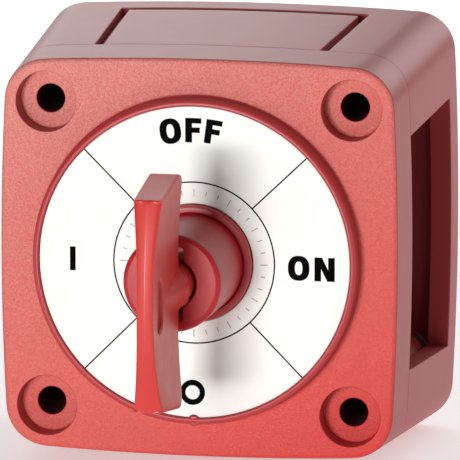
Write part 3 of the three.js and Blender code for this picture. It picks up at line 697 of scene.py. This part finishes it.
def spread_points(start, end, steps):
    """Points on a straight line, without its end."""
    return [tuple(mix(s, e, k / steps) for s, e in zip(start, end)) for k in range(steps)]


def drawn_in(outline, crown_inset, end_inset):
    """The handle's anticlockwise outline moved inwards: by one inset on its crown and another round its ends.

    The back edge isn't moved where the barrel runs into it.
    """
    moved = []
    for i, (a, b) in enumerate(outline):
        before, after = outline[i - 1], outline[(i + 1) % len(outline)]
        along = Vector((after[0] - before[0], after[1] - before[1])).normalized()
        inset = crown_inset if abs(a) < HANDLE_CORNER[0] and b > HANDLE_CORNER[1] else end_inset
        if b < HANDLE_BACK + 0.01:
            inset *= min(max((abs(a) - BARREL_R - 1) / 1.5, 0), 1)
        moved.append((a - along.y * inset, b + along.x * inset))
    return moved


def half_thickness(y, h):
    """Half the key's thickness: a drafted plate that flares to its ends, blended into the barrel's cone."""
    back = (HANDLE_CROWN - h) / (HANDLE_CROWN - HANDLE_BACK)
    flare = HANDLE_FLARE * (1 - FLARE_DRAFT * back) * (abs(y) / HANDLE_CORNER[0]) ** HANDLE_FLARE_POWER
    plate = HANDLE_HALF + HANDLE_DRAFT * back + flare
    share = min(max((h - CONE_LOW) / (CONE_HIGH - CONE_LOW), 0), 1)
    cone_r = mix(CONE_FOOT_R, CONE_TIP_R, share**CONE_POWER)
    cone = math.sqrt(max(cone_r**2 - y * y, 0))
    gap = abs(plate - cone)
    return max(plate, cone) + max(CONE_BLEND - gap, 0) ** 2 / (4 * CONE_BLEND)


# How far the rim is drawn in, as (share of the half width, inset on the crown, inset round the ends). The
# crown is a low ridge along the mould's parting line, and the ends are flat.
RIM_PROFILE = ((0.0, 0.0, 0.0), (0.04, 0.006, 0.0), (0.3, 0.07, 0.0), (0.6, 0.15, 0.0), (0.8, 0.22, 0.0),
               (0.89, 0.29, 0.03), (0.95, 0.38, 0.1), (0.98, 0.47, 0.19), (1.0, 0.6, 0.34))


# The grip recess, from its floor out, as (depth, how far it's wider than the slot).
GRIP_PROFILE = ((GRIP_DEPTH, -0.22), (GRIP_DEPTH - 0.06, -0.07), (GRIP_DEPTH - 0.2, 0.0), (0.2, 0.0),
                (0.08, 0.05), (0.0, 0.18), (-0.3, 0.5))


def build_key():
    """The key: handle plate with a crowned, parted rim, barrel, wings and the grip recesses."""
    outline = handle_outline()
    loops = []
    for share, *insets in RIM_PROFILE[:0:-1]:
        loops.append([(-share, y, h) for y, h in drawn_in(outline, *insets)])
    for share, *insets in RIM_PROFILE:
        loops.append([(share, y, h) for y, h in drawn_in(outline, *insets)])
    key = skin("key_handle", loops)
    made = bmesh.new()
    made.from_mesh(key.data)
    # Slices give the sides points to move: close together over the cone, and further apart out to the ends.
    for y in [0.4 * k for k in range(-10, 11)] + [s * y for s in (-1, 1) for y in range(5, 18)]:
        slice_at(made, (0, 0, y * MM), (0, 0, 1))
    for h in spread(CONE_LOW, CONE_HIGH + 0.5, 26):
        slice_at(made, (0, -h * MM, 0), (0, 1, 0))
    for vert in made.verts:
        vert.co.x *= half_thickness(vert.co.z / MM, -vert.co.y / MM)
    bmesh.ops.triangulate(made, faces=[f for f in made.faces if len(f.verts) > 4])
    made.to_mesh(key.data)
    made.free()
    barrel = lathe("barrel", rounded([
        (0, BARREL_TIP, 0), (BARREL_R, BARREL_TIP, BARREL_ROUND), (BARREL_R, HANDLE_FOOT, 0),
        (0, HANDLE_FOOT, 0),
    ]), segments=96)
    wings = block("wings", (-WING_HALF, WING_HALF), (-WING_REACH, WING_REACH), (WING_LOW, WING_HIGH))
    bevel(wings, WING_ROUND, 3, 40)
    for side in (-1, 1):
        cut(key, grip_cutter(side))
    key.data.transform(Matrix.Translation(in_frame(0, HANDLE_OFFSET, 0)))
    return union(key, union(barrel, wings))


def slice_at(made, point, normal):
    bmesh.ops.bisect_plane(made, geom=made.verts[:] + made.edges[:] + made.faces[:], dist=1e-8,
                           plane_co=point, plane_no=normal)


def grip_cutter(side):
    """A round-ended slot with a rolled edge, cut into one side face of the handle."""
    loops = []
    for depth, grow in GRIP_PROFILE:
        loop = []
        half = GRIP_HALF + grow
        for end, start in ((GRIP_HIGH - GRIP_HALF, -90), (GRIP_LOW + GRIP_HALF, 90)):
            for k in range(17):
                angle = math.radians(start + 180 * k / 16)
                loop.append((side * (HANDLE_HALF - depth), end + half * math.cos(angle),
                             GRIP_H + half * math.sin(angle)))
        loops.append(loop)
    return skin("grip", loops)


# ---- Studs, nuts, washers and screws ----


def threaded_rod(name, radius, pitch, depth, span, at=(0.0, 0.0), columns=36):
    """A rod whose surface is one helical thread, tapered at both ends."""
    low, high = span
    rows = int((high - low) / pitch * THREAD_ROWS)
    loops = []
    for row in range(rows + 1):
        h = mix(low, high, row / rows)
        room = min(h - low, high - h)
        loop = []
        for k in range(columns):
            phase = (h / pitch - k / columns) % 1
            crest = min(abs(2 * phase - 1) * 1.5, 1)
            r = min(radius - depth * (1 - crest), radius - depth + room)
            across, up = on_dial(360 * k / columns, r)
            loop.append((at[0] + across, at[1] + up, h))
        loops.append(loop)
    return skin(name, loops)


def build_stud(name, side):
    """A threaded stud whose contact pad is cut flat on the side that faces the other stud."""
    at = (side * STUD_X, 0)
    rod = threaded_rod(name, STUD_R, STUD_PITCH, STUD_THREAD, (STUD_END, CHAMBER_FLOOR - 0.6), at)
    pad = lathe("pad", rounded([
        (0, CHAMBER_FLOOR - 2, 0), (STUD_R - 1, CHAMBER_FLOOR - 2, 0), (STUD_R - 0.05, CHAMBER_FLOOR - 1, 0),
        (STUD_R - 0.05, CHAMBER_FLOOR + 0.1, 0), (PAD_R, CHAMBER_FLOOR + 0.1, 0), (PAD_R, PAD_TOP, PAD_ROUND),
        (0, PAD_TOP, 0),
    ]), at, SMALL_RING_STEPS)
    flat = sorted((side * (STUD_X - PAD_INNER), -side * 40))
    cut(pad, block("flat", flat, (-40, 40), (CHAMBER_FLOOR + 0.05, PAST)))
    return union(rod, pad)


def build_nut(name, span, x):
    """A hexagon nut with chamfered corners and a chamfered thread."""
    low, high = span
    corner_r = NUT_FLATS / math.sqrt(3)
    hexagon = [tuple(a + b for a, b in zip((x, 0), on_dial(60 * k, corner_r))) for k in range(6)]
    nut = prism(name, hexagon, low, high)
    land, past = NUT_FLATS / 2 - 0.25, corner_r + 0.3
    slope = (past - land) * math.tan(math.radians(30))
    turned = [(0, low), (land, low), (past, low + slope), (past, high - slope), (land, high), (0, high)]
    meet(nut, lathe("chamfer", turned, (x, 0), SMALL_RING_STEPS * 2))
    bore, wide = NUT_BORE_R, NUT_BORE_R + NUT_LEAD
    drill = [(0, low - THROUGH), (wide + THROUGH, low - THROUGH), (wide, low), (bore, low + NUT_LEAD),
             (bore, high - NUT_LEAD), (wide, high), (wide + THROUGH, high + THROUGH), (0, high + THROUGH)]
    return cut(nut, lathe("drill", drill, (x, 0), SMALL_RING_STEPS))


def build_washer(name, x):
    """A plain washer with softened edges."""
    low, high = FLAT_WASHER
    inner, outer, edge = STUD_HOLE_R, FLAT_WASHER_R, FLAT_WASHER_ROUND
    section = rounded([(inner, low, edge), (outer, low, edge), (outer, high, edge), (inner, high, edge)],
                      SMALL_FILLET_STEPS)
    return lathe(name, section, (x, 0), 72)


def build_lock_washer(name, x):
    """A split spring washer: its two ends stand a little apart along the stud."""
    low, high = LOCK_WASHER[0], LOCK_WASHER[1] - LOCK_WASHER_RISE
    inner, outer, edge = STUD_HOLE_R, LOCK_WASHER_R, LOCK_WASHER_ROUND
    gap, steps = LOCK_WASHER_GAP, 60
    section = rounded([(inner, low, edge), (outer, low, edge), (outer, high, edge), (inner, high, edge)],
                      SMALL_FILLET_STEPS)
    loops = []
    for k in range(steps + 1):
        across, up = on_dial(mix(gap, 360 - gap, k / steps), 1)
        lift = LOCK_WASHER_RISE * k / steps
        loops.append([(x + r * across, r * up, h + lift) for r, h in section])
    return skin(name, loops)


def build_base_screw(name, at):
    """A thread-forming screw with a rounded pan head and a cross recess."""
    low, high = SCREW_HEAD_LOW, SCREW_HEAD_HIGH
    head = lathe(name, rounded([
        (0, low, 0), (SCREW_HEAD_R - 0.35, low, 0.5), (SCREW_HEAD_R, high, 0.1), (SCREW_R, high, 0),
        (SCREW_R * 0.8, high + 0.5, 0), (0, high + 0.5, 0),
    ], 4), segments=SMALL_RING_STEPS)
    for across, along in (RECESS, RECESS[::-1]):
        corners = ((-across, -along), (across, -along), (across, along), (-across, along))
        cut(head, skin("recess", [[(x * grow, y * grow, low + deep) for x, y in corners]
                                  for deep, grow in RECESS_TAPER]))
    thread = threaded_rod("thread", SCREW_R, SCREW_PITCH, SCREW_THREAD, (high + 0.2, SCREW_TIP), columns=20)
    union(head, thread)
    head.data.transform(Matrix.Translation(in_frame(*at, 0)))
    return head


# ---- Materials ----


class Nodes:
    """A material's node tree, with short ways to add and join nodes."""

    def __init__(self, name):
        self.material = bpy.data.materials.new(name)
        self.material.use_nodes = True
        self.tree = self.material.node_tree
        self.shader = next(n for n in self.tree.nodes if n.type == "BSDF_PRINCIPLED")

    def add(self, kind, inputs=None, **settings):
        node = self.tree.nodes.new(kind)
        for key, value in settings.items():
            setattr(node, key, value)
        for key, value in (inputs or {}).items():
            self.put(node.inputs[key], value)
        return node

    def put(self, socket, value):
        """Links a socket's value in, or sets it as a constant."""
        if isinstance(value, bpy.types.NodeSocket):
            self.tree.links.new(value, socket)
        else:
            socket.default_value = value

    def place(self):
        """Where a point lies on its own piece, in metres."""
        return self.add("ShaderNodeTexCoord").outputs["Object"]

    def noise(self, scale, detail=2.0, roughness=0.5, vector=None):
        inputs = {"Vector": vector or self.place(), "Scale": scale, "Detail": detail, "Roughness": roughness}
        return self.add("ShaderNodeTexNoise", inputs).outputs["Fac"]

    def stretch(self, scale):
        """The place, scaled apart along x, y and z."""
        return self.add("ShaderNodeMapping", {"Vector": self.place(), "Scale": scale}).outputs["Vector"]

    def ramp(self, value, low, high, to_low, to_high):
        inputs = {"Value": value, "From Min": low, "From Max": high, "To Min": to_low, "To Max": to_high}
        return self.add("ShaderNodeMapRange", inputs).outputs["Result"]

    def blend(self, share, a, b):
        """A colour between two, by a share."""
        return self.add("ShaderNodeMix", {0: share, 6: a, 7: b}, data_type="RGBA").outputs[2]

    def maths(self, operation, a, b):
        return self.add("ShaderNodeMath", {0: a, 1: b}, operation=operation).outputs[0]

    def bump(self, height, depth):
        """Relief of a depth in millimetres."""
        inputs = {"Height": height, "Distance": depth * MM, "Strength": 1.0}
        return self.add("ShaderNodeBump", inputs).outputs["Normal"]

    def finish(self, **values):
        """Sets the shader's sockets, each named by its key."""
        for key, value in values.items():
            self.put(self.shader.inputs[key.replace("_", " ").title().replace("Ior", "IOR")], value)
        return self.material


def rgb(red, green, blue):
    return (red, green, blue, 1.0)


def moulded_plastic(name, base, varied, roughness, grain, gloss_drift=0.03, shine=0.5, painted_haze=None):
    """Moulded plastic: faint flow in its colour, uneven gloss, and a grain of (size, depth) in millimetres.

    A painted haze is what the colour turns towards at the upper left of the face: a pale painted sheen,
    broken up by the grain, that stands in for the light's reflection.
    """
    made = Nodes(name)
    colour = made.blend(made.ramp(made.noise(60, 3, 0.55), 0.3, 0.7, 0, 1), base, varied)
    size, depth = grain
    pebble = made.noise(1 / (size * MM), 2.5, 0.5)
    # Painted haze: the colour is pulled towards a pale painted sheen over the upper left, speckled by the
    # grain.
    if painted_haze:
        across = made.add("ShaderNodeVectorMath", {0: made.place(), 1: HAZE_TOWARDS}, operation="DOT_PRODUCT")
        share = made.ramp(across.outputs["Value"], -HAZE_REACH * MM, HAZE_REACH * MM, 0, 1)
        haze_speckle = made.maths("MULTIPLY", share, made.ramp(pebble, 0.35, 0.65, 0.55, 1.2))
        colour = made.blend(haze_speckle, colour, painted_haze)
    gloss = made.ramp(made.noise(260, 3, 0.5), 0.25, 0.75, roughness - gloss_drift, roughness + gloss_drift)
    fine = made.noise(3.1 / (size * MM), 1, 0.5)
    height = made.maths("ADD", pebble, made.maths("MULTIPLY", fine, 0.25))
    return made.finish(base_color=colour, roughness=gloss, specular_ior_level=shine,
                       normal=made.bump(height, depth))


def metal(name, base, varied, roughness, brushing=(200, 200, 2600), depth=0.004):
    """A turned or pressed metal part: fine drawn lines, patchy gloss and a little tarnish."""
    made = Nodes(name)
    tarnish = made.ramp(made.noise(180, 5, 0.65), 0.35, 0.7, 0, 1)
    colour = made.blend(tarnish, base, varied)
    lines = made.noise(1, 3, 0.6, made.stretch(brushing))
    gloss = made.ramp(lines, 0.2, 0.8, roughness - 0.06, roughness + 0.1)
    return made.finish(base_color=colour, metallic=1.0, roughness=gloss, normal=made.bump(lines, depth))


def label_film():
    """Warm white printed film, very faintly mottled and orange-peeled."""
    made = Nodes("label_film")
    mottle = made.ramp(made.noise(45, 3), 0.3, 0.7, 0, 1)
    tone = made.blend(mottle, rgb(0.86, 0.86, 0.82), rgb(0.84, 0.835, 0.79))
    peel = made.noise(1500, 2)
    gloss = made.ramp(made.noise(300, 3), 0.3, 0.7, 0.42, 0.5)
    return made.finish(base_color=tone, roughness=gloss, normal=made.bump(peel, 0.004))


def ink(name, tone, worn):
    """Matt screen-printed ink, a little uneven."""
    made = Nodes(name)
    colour = made.blend(made.ramp(made.noise(900, 4), 0.45, 0.8, 0, 1), tone, worn)
    gloss = made.ramp(made.noise(700, 2), 0.3, 0.7, 0.75, 0.9)
    return made.finish(base_color=colour, roughness=gloss, specular_ior_level=0.04)


def rubber():
    """Matt black rubber with a grey bloom."""
    made = Nodes("rubber")
    bloom = made.ramp(made.noise(350, 4, 0.6), 0.4, 0.8, 0, 1)
    colour = made.blend(bloom, rgb(0.012, 0.012, 0.012), rgb(0.035, 0.034, 0.032))
    skin_height = made.noise(4000, 2)
    return made.finish(base_color=colour, roughness=made.ramp(bloom, 0, 1, 0.7, 0.85),
                       normal=made.bump(skin_height, 0.01))


# The face's painted haze, a pale painted sheen standing in for the light's reflection, grows from none at the
# reach in millimetres given beside it one way to full as far the other way.
HAZE_TOWARDS, HAZE_REACH = (-0.5, 0.0, 0.87), 44.0
# The grained face, with the painted haze of light at its upper left.
RED_FACE = moulded_plastic("case_red_grained", rgb(0.65, 0.02, 0.015), rgb(0.61, 0.017, 0.013), 0.44,
                           (0.24, 0.15), painted_haze=rgb(0.7, 0.25, 0.21))
RED_SIDE = moulded_plastic("case_red_smooth", rgb(0.43, 0.032, 0.035), rgb(0.42, 0.03, 0.033), 0.42,
                           (0.25, 0.003), gloss_drift=0.01)
# A slightly darker copy of the case red for the case's inside: its darker colour is painted shade, its duller
# gloss a rougher finish.
RED_INSIDE_SHADED = moulded_plastic("case_red_inside_shaded", rgb(0.4, 0.032, 0.037), rgb(0.37, 0.028, 0.033), 0.65,
                             (0.3, 0.01))
# A near-black copy of the case red: painted shade on the walls of the mounting holes.
RED_BORE_SHADE = moulded_plastic("case_red_bore_shade", rgb(0.1, 0.006, 0.01), rgb(0.07, 0.005, 0.008), 0.8, (0.3, 0.01))
RED_HUB = moulded_plastic("hub_red", rgb(0.45, 0.015, 0.02), rgb(0.41, 0.013, 0.018), 0.36, (0.3, 0.006),
                          shine=0.3)
RED_KEY = moulded_plastic("key_red", rgb(0.6, 0.035, 0.026), rgb(0.55, 0.03, 0.024), 0.34, (0.3, 0.006))
BLACK_NYLON = moulded_plastic("insulator_black", rgb(0.016, 0.016, 0.018), rgb(0.026, 0.026, 0.028), 0.5,
                              (0.35, 0.03))
NYLON = moulded_plastic("nylon_natural", rgb(0.62, 0.58, 0.46), rgb(0.56, 0.51, 0.4), 0.45, (0.3, 0.015))
LABEL = label_film()
INK_BLACK = ink("ink_black", rgb(0.001, 0.001, 0.001), rgb(0.003, 0.003, 0.003))
INK_GREY = ink("ink_grey", rgb(0.33, 0.33, 0.33), rgb(0.42, 0.42, 0.42))
RUBBER = rubber()
TIN = metal("tin_plated_copper", rgb(0.72, 0.7, 0.64), rgb(0.6, 0.52, 0.42), 0.3)
COPPER = metal("copper", rgb(0.78, 0.36, 0.2), rgb(0.55, 0.24, 0.14), 0.3)
STEEL = metal("stainless", rgb(0.6, 0.6, 0.61), rgb(0.5, 0.5, 0.5), 0.24)


def case_depth_at(x, y, h):
    """How far a point lies under the case's outer side surface, in millimetres."""
    along = h / CASE_DEPTH
    half, corner = mix(REAR_HALF, FRONT_HALF, along), mix(REAR_CORNER, FRONT_CORNER, along)
    centre = half - corner - SIDE_BULGE * ((half - corner) / half) ** 2
    if min(abs(x), abs(y)) > centre:
        return corner - math.hypot(abs(x) - centre, abs(y) - centre)
    return min(half - SIDE_BULGE * (b / half) ** 2 - abs(a) for a, b in ((x, y), (y, x)))


# The case's materials, by index, and how deep the outer one goes into the wall.
CASE_MATERIALS = (RED_SIDE, RED_FACE, RED_INSIDE_SHADED, RED_BORE_SHADE)
SIDE, FACE, INSIDE_SHADED, BORE_SHADE = range(4)
SIDE_SKIN = 1.6


def finish_case(item):
    """Smooth red sides, a grained face and counterbore floors, a dull red with painted shade inside, and
    painted shade in holes.
    """
    item.data.materials.clear()
    for material in CASE_MATERIALS:
        item.data.materials.append(material)
    for face in item.data.polygons:
        x, y, h = face.center.x / MM, face.center.z / MM, -face.center.y / MM
        from_hole = math.hypot(abs(x) - HOLE_PITCH / 2, abs(y) - HOLE_PITCH / 2)
        on_face = CASE_DEPTH - FRONT_ROUND < h < CASE_DEPTH + 0.1
        on_floor = abs(h - COUNTERBORE_FLOOR) < 0.1
        # The holes' walls take the near-black painted shade.
        if from_hole < HOLE_R + 0.1 and h < COUNTERBORE_FLOOR - 0.3:
            face.material_index = BORE_SHADE
        elif -face.normal.y > 0.6 and (on_face or on_floor):
            face.material_index = FACE
        # Faces deep inside the case take the slightly darker painted shade.
        elif h < COUNTERBORE_FLOOR - 0.5 and case_depth_at(x, y, h) > SIDE_SKIN:
            face.material_index = INSIDE_SHADED
        else:
            face.material_index = SIDE


def soften_cad(node, material, width):
    """Keeps a CAD node, welded, with its own material, and rounds its edges when a width is given."""
    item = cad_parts[node]
    weld = item.modifiers.new("weld", "WELD")
    weld.merge_threshold = 1e-6
    if width:
        bevel(item, width, 2, 40, apply=False)
    smooth = item.modifiers.new("weighted", "WEIGHTED_NORMAL")
    smooth.keep_sharp = True
    item.data.materials.clear()
    item.data.materials.append(material)


# ---- Assembly ----


def assemble():
    for item, node in (
        (build_front_case(), "front_case"), (build_rear_frame(), "rear_frame"),
        (build_rear_cover(), "rear_cover"), (build_side_plate("side_panel_top", 1), "side_plate_top"),
        (build_side_plate("side_panel_bottom", -1), "side_plate_bottom"),
    ):
        finish_case(done(item, "housing", None, (node,)))
    done(build_label(), "housing", LABEL, ("label_disc",))
    for name, marks in build_print().items():
        done(printed(name, marks), "housing", INK_GREY if name == "print_ticks" else INK_BLACK)
    done(build_key_socket(), "rotor", RED_HUB, ("key_socket",))
    done(build_key(), "key", RED_KEY, ("key",))
    for name, side in SIDES:
        x = side * STUD_X
        done(build_stud(f"stud_thread_{name}", side), "housing", TIN,
             (f"contact_stud_{name}",))
        done(build_nut(f"jam_nut_{name}", JAM_NUT, x), "housing", TIN,
             (f"stud_jam_nut_{name}",))
        done(build_nut(f"lug_nut_{name}", STUD_NUT, x), "housing", STEEL, (f"stud_nut_{name}",))
        done(build_washer(f"plain_washer_{name}", x), "housing", STEEL, (f"flat_washer_{name}",))
        done(build_lock_washer(f"spring_washer_{name}", x), "housing", STEEL,
             (f"lock_washer_{name}",))
    for i, angle in enumerate(SCREW_ANGLES, 1):
        screw = build_base_screw(f"cross_screw_{i}", on_dial(angle, SCREW_CIRCLE_R))
        done(screw, "housing", STEEL, (f"base_screw_{i}",))
    for node, material, width in (
        ("base_block", BLACK_NYLON, 0.2), ("base_seal", RUBBER, 0.0), ("shaft_o_ring", RUBBER, 0.0),
        ("thrust_washer", NYLON, 0.0), ("contact_carrier", BLACK_NYLON, 0.0), ("carrier_screw", STEEL, 0.0),
        ("bridge_contact", COPPER, 0.3), ("contact_spring", STEEL, 0.0), ("detent_plunger_a", STEEL, 0.0),
        ("detent_plunger_b", STEEL, 0.0), ("detent_spring_a", STEEL, 0.0), ("detent_spring_b", STEEL, 0.0),
    ):
        soften_cad(node, material, width)


# ---- Stage, light and camera ----

# Millimetres and degrees. The floor lies just under the case's lower side, and the lights aim at AIM_H.
FLOOR_Z, FLOOR_R, FLOOR_STEPS = -REAR_HALF - 0.15, 12000, 64
FLOOR_GLOW, WORLD_GLOW = 0.42, 0.02
AIM_H = 45
CAMERA_AZIMUTH, CAMERA_ELEVATION, CAMERA_ROLL = 10.70, 10.122, 0.066
CAMERA_DISTANCE, CAMERA_LENS, SENSOR = 970.15, 466.8, 36.0
CAMERA_TARGET = (0.93, -23.68, 0.78)


def away(azimuth, elevation):
    """The direction from the object towards an azimuth, 0 in front and 90 to the right, and an elevation."""
    a, e = math.radians(azimuth), math.radians(elevation)
    return Vector((math.sin(a) * math.cos(e), -math.cos(a) * math.cos(e), math.sin(e)))


def build_stage():
    """A wide, flat, pale floor."""
    made = Nodes("studio_floor")
    patches = made.ramp(made.noise(12, 2), 0.3, 0.7, 0, 1)
    tone = made.blend(patches, rgb(0.88, 0.88, 0.88), rgb(0.86, 0.86, 0.86))
    material = made.finish(base_color=tone, roughness=0.9, emission_color=rgb(1, 1, 1),
                           emission_strength=FLOOR_GLOW)
    rim = [on_dial(360 * k / FLOOR_STEPS, FLOOR_R) for k in range(FLOOR_STEPS)]
    points = [(x, FLOOR_Z, y) for x, y in rim]
    floor = solid("studio_floor", points, [tuple(range(len(points)))])
    floor.data.materials.append(material)


def softbox(name, azimuth, elevation, distance, width, height, power):
    """A rectangular light that looks at the object."""
    lamp = bpy.data.lights.new(name, "AREA")
    lamp.shape, lamp.size, lamp.size_y = "RECTANGLE", width, height
    lamp.energy = power
    item = bpy.data.objects.new(name, lamp)
    bpy.context.scene.collection.objects.link(item)
    direction = away(azimuth, elevation)
    item.location = Vector(in_frame(0, 0, AIM_H)) + direction * distance
    item.rotation_mode = "QUATERNION"
    item.rotation_quaternion = (-direction).to_track_quat("-Z", "Y")


# Name, azimuth, elevation, distance and width and height in metres, and power in watts.
LIGHTS = (
    ("back_low", 180, 12, 1.0, 0.75, 0.22, 0.55),
    ("back_top", 180, 40, 1.0, 1.4, 0.7, 1.7),
    ("back_right", 150, 22, 1.0, 0.8, 0.6, 2.5),
    ("back_left", -150, 22, 1.0, 0.8, 0.6, 2.5),
    ("right_high", 115, 32, 1.0, 0.9, 0.8, 0.7),
    ("right", 75, 10, 0.6, 0.3, 0.3, 0.3),
    ("overhead", 0, 85, 0.9, 0.9, 0.9, 1.1),
    ("front_low", -9, 0, 0.6, 0.12, 0.06, 1.6),
    ("front_high", -8, 8, 0.6, 0.13, 0.1, 0.95),
)


def build_light():
    world = bpy.data.worlds.new("studio")
    bpy.context.scene.world = world
    world.use_nodes = True
    background = next(n for n in world.node_tree.nodes if n.type == "BACKGROUND")
    background.inputs["Color"].default_value = rgb(1, 1, 1)
    background.inputs["Strength"].default_value = WORLD_GLOW
    for light in LIGHTS:
        softbox(*light)
    view = bpy.context.scene.view_settings
    view.view_transform, view.look = "Standard", "None"
    view.exposure, view.gamma = 0.0, 1.0


def build_camera():
    data = bpy.data.cameras.new("camera")
    data.lens, data.sensor_width = CAMERA_LENS, SENSOR
    data.clip_start, data.clip_end = 0.01, 20.0
    data.dof.use_dof = False
    camera = bpy.data.objects.new("camera", data)
    bpy.context.scene.collection.objects.link(camera)
    back = away(CAMERA_AZIMUTH, CAMERA_ELEVATION)
    camera.location = (Vector(CAMERA_TARGET) + back * CAMERA_DISTANCE) * MM
    camera.rotation_mode = "QUATERNION"
    roll = Matrix.Rotation(math.radians(CAMERA_ROLL), 3, back)
    camera.rotation_quaternion = (roll @ (-back).to_track_quat("-Z", "Y").to_matrix()).to_quaternion()
    bpy.context.scene.camera = camera


build_camera()
build_stage()
build_light()
assemble()
